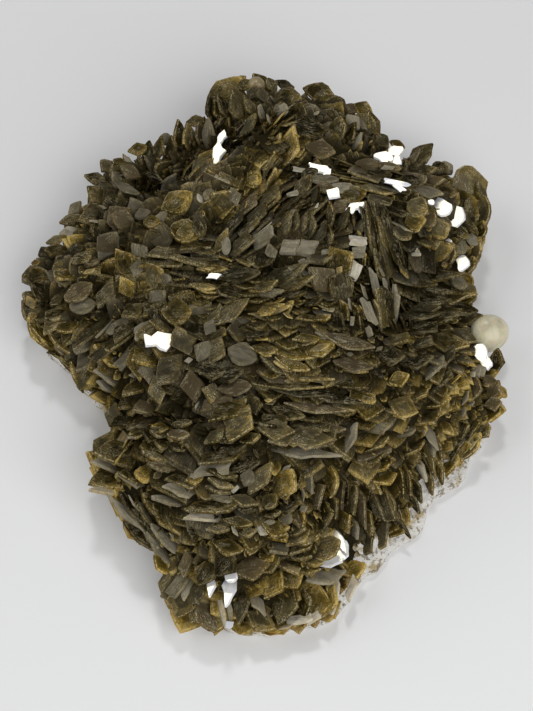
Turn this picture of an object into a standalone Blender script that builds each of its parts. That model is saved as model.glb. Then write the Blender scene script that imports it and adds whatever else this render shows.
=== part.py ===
"""Siderite specimen: a crust of bladed siderite crystals on a pale granular matrix, lying on its flat base.

Metres, +Z up. The origin is the middle of the flat base, +Y is the long way of the specimen and +X its
short way. Tables are in millimetres and degrees, and MM turns them into metres where a mesh is made.

The crust is one solid: a domed bed and the leading blades of each sheaf, united. A sheaf is a patch of
blades that share one lean and one rise. Every blade is a flattened rhombohedron, a plate whose upper face
is shifted back from its tip, so that its front facets look upwards. The broadest blades are placed one by
one, by their outlines as seen.
"""

import math

import bmesh
import bpy
import numpy as np

MM = 0.001
SEED = 7

# The places in SHEAVES are read along one line of sight, on the level that is LEVEL high.
# A point at another height lies SLANT times the height difference nearer or farther.
LEVEL = 22.0
SLANT = math.tan(math.radians(24.0))

# Reach of the blade tips from the origin: direction, distance.
REACH = (
    (0, 48.5), (9, 46.0), (17, 45.5), (23, 45.8), (29, 50.0), (36, 57.5), (43, 62.0), (50, 60.5),
    (57, 60.0), (62, 58.8), (67, 61.5), (72, 64.0), (80, 65.5), (90, 66.3), (98, 65.3), (103, 60.5),
    (108, 57.0), (114, 55.8), (121, 57.5), (129, 57.7), (136, 55.0), (145, 53.8), (151, 55.4),
    (160, 53.3), (167, 51.5), (171, 48.5), (175, 43.0), (184, 38.7), (190, 34.2), (197, 33.6),
    (204, 35.5), (210, 40.0), (215, 43.0), (225, 43.0), (236, 44.2), (243, 46.0), (249, 52.5),
    (255, 54.0), (262, 54.3), (275, 52.6), (284, 51.6), (290, 48.5), (296, 44.8), (305, 43.5),
    (316, 43.5), (325, 41.7), (332, 44.0), (340, 44.8), (347, 48.0), (355, 48.9),
)
# Height of the outermost blade tips: direction, height.
RIM_HEIGHT = (
    (0, 10.0), (12, 9.0), (30, 12.0), (55, 12.5), (80, 15.0), (92, 16.0), (112, 16.0), (130, 13.0),
    (150, 11.0), (170, 10.0), (190, 8.0), (200, 10.0), (212, 13.5), (225, 14.0), (240, 11.0),
    (250, 8.0), (265, 6.0), (280, 5.0), (295, 4.6), (320, 4.8), (330, 5.2), (340, 6.5), (350, 8.0),
)
# Width of the bare rim of matrix outside the blades: direction, width.
BARE_RIM = (
    (0, 0.0), (200, 0.0), (275, 0.0), (285, 0.3), (292, 0.7), (300, 2.3), (310, 2.4), (318, 1.5),
    (325, 1.3), (332, 2.2), (340, 0.9), (350, 0.0),
)
# How far the matrix stays inside the blade tips where the crust overhangs it: direction, distance.
OVERHANG = (
    (0, 6.0), (30, 8.0), (90, 9.0), (130, 7.0), (165, 3.5), (180, 2.0), (192, 1.0), (200, 3.0),
    (212, 8.0), (232, 7.0), (250, 3.0), (268, 1.2), (285, 0.0), (340, 0.0), (352, 4.0),
)
# Height of the matrix under the edge of the crust: direction, height.
MATRIX_EDGE = (
    (0, 4.5), (40, 5.5), (90, 8.0), (130, 6.0), (165, 4.0), (190, 3.5), (215, 6.0), (235, 5.0),
    (255, 2.6), (280, 1.9), (300, 2.0), (330, 2.0), (345, 3.0),
)
# Width over which the bed climbs from its edge: direction, width.
CLIMB = (
    (0, 9.0), (45, 8.0), (90, 7.0), (150, 7.0), (200, 6.0), (225, 6.0), (250, 8.0), (270, 10.0),
    (310, 12.0), (335, 11.0), (350, 10.0),
)
# From the blade tips in to the edge of the bed: direction, distance.
BED_INSET = ((0, 3.4), (280, 3.4), (298, 2.4), (335, 2.4), (350, 3.4))
MATRIX_TOP = 9.0
PLATEAU = 24.5
BED_DROP = 1.4  # from the blade tips down to the edge of the bed
BED_SKIRT = 3.6  # height of the bed's upright edge

# Rises and hollows of the bed: x, y, height, half width along, half width across, turn.
LUMPS = (
    (0.0, 2.0, 5.0, 30.0, 17.0, 0.0),
    (-3.0, 40.0, 6.5, 15.0, 5.0, 58.0),
    (8.0, 28.0, 3.0, 12.0, 7.0, 45.0),
    (30.0, 32.0, 3.5, 13.0, 9.0, -10.0),
    (-22.0, 39.0, -7.0, 9.0, 4.5, 30.0),
    (-5.0, 46.0, -4.5, 6.0, 3.0, 60.0),
    (-33.0, 15.0, -4.0, 4.0, 9.0, 10.0),
    (33.0, 13.0, -4.5, 8.0, 5.0, 0.0),
    (-17.0, -14.0, -5.0, 5.0, 3.0, -15.0),
    (-24.0, -26.0, 4.0, 9.0, 5.0, -25.0),
    (2.0, -20.0, 2.5, 13.0, 3.0, -8.0),
    (20.0, -27.0, -3.0, 8.0, 5.0, 20.0),
    (-8.0, -48.0, 2.5, 8.0, 7.0, 0.0),
    (27.0, -12.0, 3.0, 9.0, 4.5, 25.0),
    (16.0, -42.0, 2.0, 5.0, 4.0, 0.0),
)

# Outlines of blades: the first two corners, in half lengths along and across, and how far the sides bulge.
# The other two corners lie opposite. A rhombus points along the lean, and a block is square or slanted.
FORMS = {
    "tip": (1.0, 0.0, 0.0, 1.0, 0.04), "leaf": (1.0, 0.0, 0.0, 1.0, 0.10),
    "round": (1.0, 0.0, 0.0, 1.0, 0.24), "edge": (0.92, 0.92, -0.92, 0.92, 0.02),
    "slant": (1.0, 0.92, -0.5, 0.92, 0.02), "counter": (0.5, 0.92, -1.0, 0.92, 0.02),
}
# Sheaves: name, x, y, lean, rise, blade length, width, thickness, outline.
# Lean is the direction that the tips point to in plan. Rise is the angle between blade and surface.
SHEAVES = (
    ("teeth upper left", -26, 46, 190, 80, 7.0, 5.0, 1.1, "leaf"),
    ("flank upper left", -36, 38, 120, 62, 7.0, 6.0, 1.2, "leaf"),
    ("arc left", -42, 26, 150, 55, 7.0, 6.5, 1.4, "leaf"),
    ("rim left", -45, 14, 130, 42, 7.5, 6.5, 1.4, "round"),
    ("foot left", -41, 3, 210, 68, 7.0, 5.5, 1.2, "leaf"),
    ("notch left", -34, -8, 215, 55, 6.0, 5.0, 1.2, "leaf"),
    ("gully left", -22, 38, 150, 75, 6.0, 5.0, 1.0, "leaf"),
    ("shoulder", -16, 29, 90, 38, 6.5, 6.0, 1.3, "round"),
    ("shoulder left", -30, 27, 130, 50, 6.5, 6.0, 1.3, "leaf"),
    ("broken patch", -9, 38, 100, 40, 5.0, 5.0, 0.9, "edge"),
    ("crest left", -8, 54, 30, 80, 8.0, 6.0, 1.2, "leaf"),
    ("crest middle", 3, 56, 70, 60, 7.0, 6.0, 1.2, "leaf"),
    ("crest right", 14, 55, 60, 55, 7.0, 6.0, 1.3, "round"),
    ("gully middle", -4, 46, 150, 80, 6.0, 5.0, 0.9, "leaf"),
    ("ridge low", -5, 34, 325, 60, 6.0, 7.0, 0.7, "edge"),
    ("ridge high", 2, 48, 325, 60, 6.0, 7.0, 0.7, "edge"),
    ("upper faces", 10, 43, 75, 50, 6.5, 6.0, 1.3, "leaf"),
    ("diagonal stack low", -5, 26, 315, 60, 7.0, 7.5, 0.9, "edge"),
    ("diagonal stack", 4, 31, 315, 60, 7.0, 7.5, 0.9, "edge"),
    ("brown blades", 13, 29, 320, 55, 6.5, 6.5, 1.1, "leaf"),
    ("striated blocks", 7, 21, 85, 40, 5.5, 5.5, 1.3, "edge"),
    ("upright stack top", 22, 25, 190, 78, 7.0, 8.5, 1.1, "leaf"),
    ("upright stack low", 24, 10, 188, 78, 7.0, 8.5, 1.1, "leaf"),
    ("strata", 20, 36, 258, 38, 7.5, 8.0, 0.8, "edge"),
    ("blades upper right", 31, 44, 135, 72, 7.0, 6.5, 1.2, "leaf"),
    ("shells right", 42, 33, 30, 50, 8.0, 7.5, 1.4, "round"),
    ("speckled faces", 33, 29, 40, 34, 7.0, 7.0, 1.4, "round"),
    ("plates right", 28, 24, 245, 38, 7.0, 7.0, 1.0, "leaf"),
    ("corner right", 39, 20, 20, 50, 6.5, 6.0, 1.2, "round"),
    ("dark lamellae", 34, 14, 268, 45, 7.0, 8.0, 0.8, "edge"),
    ("points right", 38, 6, 350, 40, 6.5, 6.0, 1.1, "tip"),
    ("blocks left", -25, 15, 80, 45, 5.0, 5.0, 1.7, "edge"),
    ("blocks low", -20, 9, 100, 42, 5.0, 5.0, 1.6, "edge"),
    ("flat stack", -14, 21, 265, 48, 7.0, 9.0, 0.8, "edge"),
    ("band upper left", -10, 12, 268, 40, 6.5, 7.0, 0.75, "leaf"),
    ("band upper", 4, 13, 268, 40, 6.5, 7.0, 0.75, "leaf"),
    ("band upper right", 14, 11, 262, 42, 6.5, 6.5, 0.8, "leaf"),
    ("faces middle left", -20, 0, 235, 34, 5.5, 6.0, 1.3, "slant"),
    ("faces middle", -10, -2, 240, 34, 5.5, 6.0, 1.2, "edge"),
    ("faces low left", -24, -8, 230, 38, 5.5, 5.5, 1.2, "slant"),
    ("brown rhombs", -8, -11, 250, 34, 5.5, 6.0, 1.2, "slant"),
    ("golden flakes", 6, -3, 266, 38, 5.0, 6.0, 0.7, "leaf"),
    ("band low left", 4, -11, 265, 38, 6.0, 7.0, 0.75, "leaf"),
    ("band low right", 14, -8, 262, 38, 6.0, 7.0, 0.8, "leaf"),
    ("hollow", -17, -14, 200, 45, 5.0, 5.0, 1.1, "leaf"),
    ("ledge", 5, -19, 265, 36, 6.5, 8.0, 1.5, "slant"),
    ("shingles right", 24, -3, 292, 36, 7.0, 7.0, 1.1, "leaf"),
    ("shingles far right", 34, -2, 298, 38, 7.0, 7.0, 1.1, "leaf"),
    ("shingles low right", 28, -12, 285, 36, 7.0, 7.0, 1.3, "leaf"),
    ("edge right", 42, -6, 330, 48, 6.5, 6.0, 1.2, "leaf"),
    ("edge low right", 40, -15, 322, 60, 6.5, 6.5, 1.2, "leaf"),
    ("golden blades", 36, -22, 325, 70, 7.0, 7.5, 1.2, "leaf"),
    ("fan top", 23, -21, 285, 55, 6.0, 7.5, 1.1, "leaf"),
    ("fan left", 18, -35, 2, 75, 7.0, 8.0, 1.3, "leaf"),
    ("fan middle", 25, -31, 15, 75, 7.0, 8.0, 1.3, "leaf"),
    ("fan right", 31, -24, 25, 72, 7.0, 8.0, 1.3, "leaf"),
    ("rhombs low", 5, -29, 262, 36, 6.0, 5.5, 1.2, "leaf"),
    ("rhombs low left", -6, -31, 255, 36, 6.0, 6.0, 1.2, "leaf"),
    ("tight facets", -22, -21, 235, 38, 4.5, 4.5, 1.0, "slant"),
    ("lower ledge", -28, -28, 240, 34, 7.0, 7.0, 1.9, "slant"),
    ("lower ledge inner", -15, -27, 245, 36, 6.5, 7.0, 1.6, "slant"),
    ("edge-on blades", -25, -37, 217, 72, 7.0, 10.0, 1.4, "leaf"),
    ("pale ledge", -12, -36, 255, 36, 6.0, 7.0, 1.5, "slant"),
    ("olive faces", 0, -39, 255, 36, 6.0, 6.5, 1.3, "leaf"),
    ("low stack", 11, -44, 250, 38, 6.5, 7.5, 1.5, "slant"),
    ("grey uprights", -14, -44, 200, 62, 6.5, 6.0, 1.2, "leaf"),
    ("corner low left", -19, -49, 155, 68, 6.0, 6.0, 1.2, "leaf"),
    ("rosette left", -11, -52, 185, 65, 7.5, 6.0, 1.2, "leaf"),
    ("rosette right", 3, -53, 350, 58, 7.5, 6.5, 1.3, "leaf"),
    ("rosette edge", 12, -52, 320, 55, 7.0, 6.0, 1.4, "leaf"),
)

STAND = 1.2  # height of the sheaves' tips above the bed
BURIED = 0.45  # share of the blade's raised length that lies below its tip
FLAT = 0.62  # share of its table's rise and thickness that a sheaf's blade has
SKEW = 0.8  # how far the upper face is shifted back, in thicknesses
PITCH_ALONG = 1.15  # spacing along the lean, in thicknesses over the sine of the rise
PITCH_ACROSS = 0.80  # spacing across the lean, in widths
RIM_STEP = 3.7  # spacing of the blades along the edge
RIM_DROP = 3.4  # spacing of the rows of blades down the edge
LOWEST_TIP = 1.9

PALE_RIGHT = ((46.0, 9.3, 8.4), (4.2, 4.0, 3.0), 35.0, 20.0)  # middle, half sizes, tilt, turn
PALE_TOP = ((-2.2, 63.6, 17.4), (1.9, 1.8, 1.7), 20.0, 0.0)

# The view that the single blades are placed in: a line of sight that rises VIEW_RISE above the horizon.
VIEW_RISE = 66.0
VIEW_AWAY = 380.0
VIEW_MIDDLE = np.array([0.0, 0.0, 18.0])
TO_VIEW = np.array([0.0, -math.cos(math.radians(VIEW_RISE)), math.sin(math.radians(VIEW_RISE))])
EYE = VIEW_MIDDLE + TO_VIEW * VIEW_AWAY
VIEW_RIGHT = np.array([1.0, 0.0, 0.0])
VIEW_UP = np.array([0.0, math.sin(math.radians(VIEW_RISE)), math.cos(math.radians(VIEW_RISE))])

GAP = 0.3  # between neighbouring pieces
LEAD_SIZE = 1.12  # growth of the leading blades over the small ones
LEAD_THICK = 1.5

# The broadest blades as seen: place to the right and up, size along and across, turn, outline.
LARGE = (
    (-8.3, 52.6, 7.6, 4.6, 38, "leaf"), (-17.3, 43.2, 7.0, 2.3, -82, "leaf"),
    (-15.2, 42.7, 6.6, 2.8, -76, "leaf"), (4.3, 51.6, 4.8, 3.3, -10, "leaf"),
    (10.6, 52.4, 5.8, 3.3, -15, "leaf"), (4.3, 42.4, 8.0, 4.6, -72, "leaf"),
    (10.8, 40.8, 5.0, 3.5, -33, "edge"), (30.8, 39.7, 5.8, 3.2, 45, "leaf"),
    (40.4, 33.6, 7.8, 5.8, -75, "round"), (-34.0, 31.4, 5.6, 2.8, -42, "edge"),
    (-34.5, 28.0, 5.0, 3.4, -15, "edge"), (-46.3, 15.7, 5.0, 3.8, 20, "leaf"),
    (-31.4, 21.9, 5.6, 4.4, 55, "leaf"), (-29.3, 27.3, 4.8, 4.4, 40, "leaf"),
    (-45.0, 12.3, 5.0, 3.0, -40, "leaf"), (-37.2, 10.3, 5.4, 2.8, 10, "leaf"),
    (-28.1, 18.5, 5.0, 3.2, 90, "edge"), (-17.8, 30.2, 6.2, 4.1, 35, "round"),
    (-16.3, 24.6, 5.4, 4.0, -15, "round"), (15.2, 18.3, 6.0, 3.6, 97, "edge"),
    (11.6, 15.2, 5.2, 3.8, -72, "edge"), (39.8, 32.2, 4.8, 3.6, -50, "round"),
    (-45.4, 4.8, 7.2, 3.4, -58, "round"), (-41.6, 7.6, 6.4, 3.2, 25, "edge"),
    (-38.6, 5.0, 6.0, 3.0, 35, "edge"), (-18.2, 8.4, 5.2, 4.6, 82, "edge"),
    (-19.6, -3.0, 5.2, 4.4, 8, "edge"), (-4.7, 0.5, 5.0, 3.2, -5, "edge"),
    (29.8, -1.4, 6.0, 2.8, -14, "edge"), (27.4, -10.3, 5.6, 4.2, -24, "edge"),
    (-11.8, -22.6, 7.2, 2.2, 8, "edge"), (-5.6, -14.4, 5.4, 2.8, 30, "leaf"),
    (-1.0, -24.6, 6.6, 2.8, 52, "leaf"), (3.7, -25.8, 5.4, 4.2, 60, "round"),
    (12.6, -24.8, 6.0, 3.4, 98, "round"), (-32.6, -25.2, 6.6, 2.6, -8, "edge"),
    (-27.8, -32.4, 8.0, 2.0, -52, "leaf"), (-19.4, -38.2, 7.6, 2.4, -46, "edge"),
    (-17.0, -49.6, 5.8, 4.8, 40, "leaf"), (-1.4, -53.4, 5.2, 3.4, 8, "leaf"),
    (11.4, -38.5, 5.4, 4.0, 24, "edge"), (3.9, -50.6, 6.0, 3.6, 76, "leaf"),
    (10.7, -49.4, 6.0, 4.2, 105, "leaf"),
)
LARGE_LIFT = 1.0  # height of the broadest blades' middles above the bed
LARGE_THICK = 1.0
LARGE_TILT = 14.0


def around(table, degrees):
    """Value of a (direction, value) table at the given directions, straight between its points."""
    directions, values = np.array(table, dtype=float).T
    return np.interp(degrees, directions, values, period=360.0)


def unit(vectors):
    return vectors / np.linalg.norm(vectors, axis=-1, keepdims=True)


def bearing(degrees):
    """Level unit vectors that point in the given directions."""
    turn = np.radians(degrees)
    return np.stack([np.cos(turn), np.sin(turn), np.zeros_like(turn)], axis=-1)


def tip_reach(degrees):
    return around(REACH, degrees) - around(BARE_RIM, degrees)


def bed_reach(degrees):
    return tip_reach(degrees) - around(BED_INSET, degrees)


def bed_edge(degrees):
    return around(RIM_HEIGHT, degrees) - BED_DROP


def matrix_reach(degrees):
    return around(REACH, degrees) - around(OVERHANG, degrees)


def bed_height(x, y):
    """Height of the bed: it climbs from its edge towards PLATEAU, by the distance in from the nearest edge.

    The edge's height and climb are means over the whole edge that favour the nearest stretch of it.
    """
    spokes = np.arange(0.0, 360.0, 3.0)
    edge_x, edge_y, _ = np.moveaxis(bearing(spokes) * bed_reach(spokes)[:, None], -1, 0)
    apart = np.hypot(np.asarray(x)[..., None] - edge_x, np.asarray(y)[..., None] - edge_y)
    nearest = apart.min(axis=-1)
    weight = np.exp((nearest[..., None] - apart) / 4.0)
    weight = weight / weight.sum(axis=-1, keepdims=True)
    edge = (weight * bed_edge(spokes)).sum(axis=-1)
    climb = (weight * around(CLIMB, spokes)).sum(axis=-1)
    outward = np.hypot(x, y) / bed_reach(np.degrees(np.arctan2(y, x)) % 360.0)
    inside = np.where(outward < 1.0, nearest, 0.0)
    height = edge + (PLATEAU - edge) * (1.0 - np.exp(-((inside / climb) ** 1.2)))
    settled = 1.0 - np.exp(-((inside / 5.0) ** 2))
    for lump_x, lump_y, rise, along, across, turn in LUMPS:
        cos, sin = math.cos(math.radians(turn)), math.sin(math.radians(turn))
        right = ((x - lump_x) * cos + (y - lump_y) * sin) / along
        up = ((y - lump_y) * cos - (x - lump_x) * sin) / across
        height = height + rise * np.exp(-right**2 - up**2) * settled
    return height


def bed_normal(x, y, step=1.2):
    """Upward normals of the bed, from height differences over a short step each way."""
    slope_x = (bed_height(x + step, y) - bed_height(x - step, y)) / (2 * step)
    slope_y = (bed_height(x, y + step) - bed_height(x, y - step)) / (2 * step)
    return unit(np.stack([-slope_x, -slope_y, np.ones_like(x)], axis=-1))


def sighted(x, y):
    """Plan place on the bed of a point that is seen at x, y on the level LEVEL."""
    place_y = np.array(y, dtype=float)
    for _ in range(12):
        place_y = 0.5 * place_y + 0.5 * (y - SLANT * (bed_height(x, place_y) - LEVEL))
    return np.array(x, dtype=float), place_y


def sheaf_centres():
    seen = np.array([row[1:3] for row in SHEAVES], dtype=float)
    return np.stack(sighted(seen[:, 0], seen[:, 1]), axis=-1)


def nearest_sheaf(x, y, centres):
    """Index of the nearest sheaf, with borders that waver by a millimetre or two."""
    waver_x = x + 1.4 * np.sin(0.8 * y + 1.0) + 0.8 * np.sin(1.9 * y)
    waver_y = y + 1.4 * np.sin(0.9 * x + 2.0) + 0.8 * np.sin(2.1 * x)
    apart = np.hypot(waver_x[:, None] - centres[:, 0], waver_y[:, None] - centres[:, 1])
    return np.argmin(apart, axis=1)


def lean_over(normal, lean, rise):
    """Blade axes: the face normal, tilted back from the surface normal by the rise, and the tip's way."""
    level = bearing(lean)
    along = unit(level - np.sum(level * normal, axis=-1, keepdims=True) * normal)
    cos, sin = np.cos(np.radians(rise))[:, None], np.sin(np.radians(rise))[:, None]
    return normal * cos - along * sin, normal * sin + along * cos


def blade_set(middle, face, tip_way, length, width, thick, form):
    """Blades with their half axes, and the way in which their upper face is shifted."""
    return {
        "middle": middle, "face": face, "back": -tip_way,
        "along": tip_way * length[:, None] / 2,
        "across": np.cross(face, tip_way) * width[:, None] / 2,
        "thick": thick, "form": form,
    }


def sheaf_blades(rng, spacing=1.0):
    """All blades of all sheaves: rows along each lean, in brick order, with a shared and an own jitter."""
    centres = sheaf_centres()
    found = []
    for index, (_, _, _, lean, rise, length, width, thick, form) in enumerate(SHEAVES):
        rise, thick = FLAT * rise, FLAT * thick
        pitch_along = spacing * PITCH_ALONG * thick / math.sin(math.radians(rise))
        pitch_across = spacing * PITCH_ACROSS * width
        rows, columns = int(14 / pitch_along) + 1, int(14 / pitch_across) + 1
        row, column = np.meshgrid(np.arange(-rows, rows + 1), np.arange(-columns, columns + 1), indexing="ij")
        shape = row.shape
        clump = rng.normal(size=(4, shape[0] // 4 + 1, shape[1] // 2 + 1))
        clump = clump.repeat(4, axis=1).repeat(2, axis=2)[:, : shape[0], : shape[1]]
        own = rng.normal(size=(7,) + shape)
        toward = bearing(np.array(float(lean)))
        aside = bearing(np.array(lean + 90.0))
        along = (row + 0.14 * own[0]) * pitch_along
        across = (column + 0.5 * (row % 2) + 0.10 * own[1]) * pitch_across
        x = centres[index, 0] + along * toward[0] + across * aside[0]
        y = centres[index, 1] + along * toward[1] + across * aside[1]
        blades = {
            "x": x, "y": y,
            "lean": lean + 7.0 * clump[0] + 4.0 * own[2],
            "rise": np.clip(rise + 4.0 * clump[1] + 3.0 * own[3], 10.0, 100.0),
            "lift": 0.40 * clump[2] + 0.18 * own[4],
            "length": length * (1 + 0.10 * own[5]),
            "width": width * (1 + 0.08 * clump[3] + 0.10 * own[6]),
            "thick": thick * np.ones(shape),
            "form": list(FORMS).index(form) * np.ones(shape, dtype=int),
            "lead": (row % 3 == 0) & (column % 2 == 0),
        }
        blades = {key: values.ravel() for key, values in blades.items()}
        degrees = np.degrees(np.arctan2(blades["y"], blades["x"])) % 360.0
        inside = np.hypot(blades["x"], blades["y"]) < tip_reach(degrees) - 3.0
        keep = inside & (nearest_sheaf(blades["x"], blades["y"], centres) == index)
        found.append({key: values[keep] for key, values in blades.items()})
    return {key: np.concatenate([part[key] for part in found]) for key in found[0]}


def placed_sheaves(blades, stand=STAND):
    """The sheaves' blades in place: each tip stands a little above the bed."""
    normal = bed_normal(blades["x"], blades["y"])
    face, tip_way = lean_over(normal, blades["lean"], blades["rise"])
    base = np.stack([blades["x"], blades["y"], bed_height(blades["x"], blades["y"])], axis=-1)
    raised = BURIED * blades["length"] * np.sin(np.radians(blades["rise"]))
    middle = base + normal * (stand - raised + blades["lift"])[:, None]
    sizes = (blades[key] for key in ("length", "width", "thick", "form"))
    return blade_set(middle, face, tip_way, *sizes)


def rim_blades(rng):
    """Blades round the edge, in rows down its side, whose tips reach the outline."""
    fine = np.arange(0.0, 360.0, 0.5)
    radius = tip_reach(fine)
    x, y = radius * np.cos(np.radians(fine)), radius * np.sin(np.radians(fine))
    length = np.concatenate([[0.0], np.cumsum(np.hypot(np.diff(x), np.diff(y)))])
    count = int(length[-1] / RIM_STEP)
    centres = sheaf_centres()
    sizes = np.array([row[3:8] for row in SHEAVES], dtype=float)
    forms = np.array([list(FORMS).index(row[8]) for row in SHEAVES])
    parts = []
    for tier in range(4):
        own = rng.normal(size=(6, count))
        stations = (np.arange(count) + 0.5 * (tier % 2) + 0.15 * own[0]) * length[-1] / count
        degrees = np.interp(stations, length, fine)
        drop = RIM_DROP * tier + 0.5 * own[1]
        height = around(RIM_HEIGHT, degrees) - drop
        reach = tip_reach(degrees) + 0.45 * own[2] - 0.5 * tier
        out = bearing(degrees)
        sheaf = nearest_sheaf(out[:, 0] * reach * 0.93, out[:, 1] * reach * 0.93, centres)
        lean, rise, long, wide, thick = sizes[sheaf].T
        thick = FLAT * thick
        climb = np.radians(24.0 - 16.0 * tier + 7.0 * own[3])
        tip_way = out * np.cos(climb)[:, None] + np.array([0.0, 0.0, 1.0]) * np.sin(climb)[:, None]
        upward = unit(out * 0.45 + np.array([0.0, 0.0, 1.0]))
        face, _ = lean_over(upward, lean + 9.0 * own[4], rise)
        face = unit(face - np.sum(face * tip_way, axis=1, keepdims=True) * tip_way)
        long = np.clip(long * (1 + 0.08 * own[5]), 5.5, 9.0)
        tip = out * reach[:, None] + np.array([0.0, 0.0, 1.0]) * height[:, None]
        keep = height > LOWEST_TIP + 1.5 * tier
        lead = ((np.arange(count) + tier) % 2 == 0) & (tier < 3)
        middle = tip - tip_way * long[:, None] / 2
        blades = blade_set(middle, face, tip_way, long, wide, thick, forms[sheaf])
        blades["lead"] = lead
        parts.append({key: values[keep] for key, values in blades.items()})
    return {key: np.concatenate([part[key] for part in parts]) for key in parts[0]}


def on_bed(u, w, lift):
    """Point above the bed by lift that is seen at u to the right and w up from the view's middle."""
    through = VIEW_MIDDLE + u[:, None] * VIEW_RIGHT + w[:, None] * VIEW_UP
    way = through - EYE
    height = np.full(len(u), LEVEL)
    for _ in range(14):
        point = EYE + way * ((height - EYE[2]) / way[:, 2])[:, None]
        height = 0.5 * height + 0.5 * (bed_height(point[:, 0], point[:, 1]) + lift)
    return EYE + way * ((height - EYE[2]) / way[:, 2])[:, None]


def seen_blades(u, w, long, wide, turn, side, tilt, lift, thick, form):
    """Blades from their outlines as seen: each outline is carried along the sight lines onto its plane.

    The plane's normal is tilted from the line of sight by tilt, towards side in the picture, and the upper
    face is shifted the same way, so that the edge on the other side shows.
    """
    middle = on_bed(u, w, lift)
    sight = unit(EYE - middle)
    right = unit(VIEW_RIGHT - np.sum(sight * VIEW_RIGHT, axis=1, keepdims=True) * sight)
    up = np.cross(sight, right)
    cos, sin = np.cos(np.radians(side))[:, None], np.sin(np.radians(side))[:, None]
    aslant = right * cos + up * sin
    upright, tipped = np.cos(np.radians(tilt))[:, None], np.sin(np.radians(tilt))[:, None]
    face = sight * upright + aslant * tipped
    cos, sin = np.cos(np.radians(turn))[:, None], np.sin(np.radians(turn))[:, None]
    scale = (np.linalg.norm(EYE - middle, axis=1) / VIEW_AWAY)[:, None]
    along = (right * cos + up * sin) * long[:, None] / 2 * scale
    across = (up * cos - right * sin) * wide[:, None] / 2 * scale
    along = along - sight * np.sum(along * face, axis=1, keepdims=True) / upright
    across = across - sight * np.sum(across * face, axis=1, keepdims=True) / upright
    back = unit(aslant - np.sum(aslant * face, axis=1, keepdims=True) * face)
    return {
        "middle": middle, "face": face, "back": back, "along": along, "across": across,
        "thick": thick, "form": form,
    }


def ring_at(radius, height, degrees):
    turn = np.radians(degrees)
    return np.stack([radius * np.cos(turn), radius * np.sin(turn), height], axis=-1)


def matrix_surface(share, degrees):
    """Height of the matrix's upper side at a share of its reach."""
    edge = around(MATRIX_EDGE, degrees)
    rough = 0.35 * np.sin(np.radians(7 * degrees) + 5 * share) + 0.25 * np.sin(np.radians(17 * degrees))
    return edge + (MATRIX_TOP - edge) * (1 - share**2) + rough * share


def leading_blades():
    """Every blade that is part of the solid: of the sheaves, of the edge, and the broadest ones."""
    rng = np.random.default_rng(SEED)
    rows = sheaf_blades(rng)
    rows = {key: values[rows["lead"]] for key, values in rows.items()}
    rows["length"], rows["width"] = rows["length"] * LEAD_SIZE, rows["width"] * LEAD_SIZE
    rows["thick"] = rows["thick"] * LEAD_THICK
    rim = rim_blades(rng)
    rim = {key: values[rim["lead"]] for key, values in rim.items()}
    rim["thick"] = rim["thick"] * LEAD_THICK
    u, w, long, wide, turn = np.array([row[:5] for row in LARGE], dtype=float).T
    even = np.ones(len(LARGE))
    form = np.array([list(FORMS).index(row[5]) for row in LARGE])
    broad = seen_blades(
        u, w, long, wide, turn, turn + 90.0, LARGE_TILT * even, LARGE_LIFT * even, LARGE_THICK * even, form,
    )
    groups = [placed_sheaves(rows), rim, broad]
    return {key: np.concatenate([group[key] for group in groups]) for key in broad}


def blade_corners(blades):
    """Eight corners of each blade: its outline below, and the same one above, shifted back."""
    outlines = np.array(list(FORMS.values()))[blades["form"]]
    thick = blades["thick"][:, None]
    layers = []
    for side in (-0.5, 0.5):
        shift = blades["face"] * side * thick + blades["back"] * (side + 0.5) * SKEW * thick
        for sign in (1.0, -1.0):
            for first in (0, 2):
                forward, sideways = outlines[:, first, None], outlines[:, first + 1, None]
                offset = blades["along"] * forward + blades["across"] * sideways
                layers.append(blades["middle"] + sign * offset + shift)
    return np.stack(layers, axis=1)


BLADE_FACES = ((3, 2, 1, 0), (4, 5, 6, 7), (0, 1, 5, 4), (1, 2, 6, 5), (2, 3, 7, 6), (3, 0, 4, 7))


def new_object(name, vertices, faces, material=None):
    """Object with its mesh given in millimetres."""
    mesh = bpy.data.meshes.new(name)
    mesh.from_pydata([tuple(point) for point in np.asarray(vertices) * MM], [], [list(f) for f in faces])
    mesh.validate()
    if material:
        mesh.materials.append(material)
    item = bpy.data.objects.new(name, mesh)
    bpy.context.scene.collection.objects.link(item)
    return item


def finish(name, colour, roughness):
    """Plain material of one piece."""
    material = bpy.data.materials.new(name)
    material.use_nodes = True
    shader = material.node_tree.nodes["Principled BSDF"]
    shader.inputs["Base Color"].default_value = (*colour, 1.0)
    shader.inputs["Roughness"].default_value = roughness
    shader.inputs["Metallic"].default_value = 0.0
    material.diffuse_color = (*colour, 1.0)
    return material


def turned_solid(rings, top_height, bottom_height):
    """Closed solid from rings of points, first to last from the top's middle round to the bottom's."""
    count = len(rings[0])
    vertices = [(0.0, 0.0, top_height)] + [tuple(point) for ring in rings for point in ring]
    vertices.append((0.0, 0.0, bottom_height))
    last = len(vertices) - 1
    faces = []
    for index in range(count):
        follow = (index + 1) % count
        faces.append((0, 1 + index, 1 + follow))
        for ring in range(len(rings) - 1):
            start, below = 1 + ring * count, 1 + (ring + 1) * count
            faces.append((start + index, below + index, below + follow, start + follow))
        start = 1 + (len(rings) - 1) * count
        faces.append((last, start + follow, start + index))
    return vertices, faces


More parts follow.
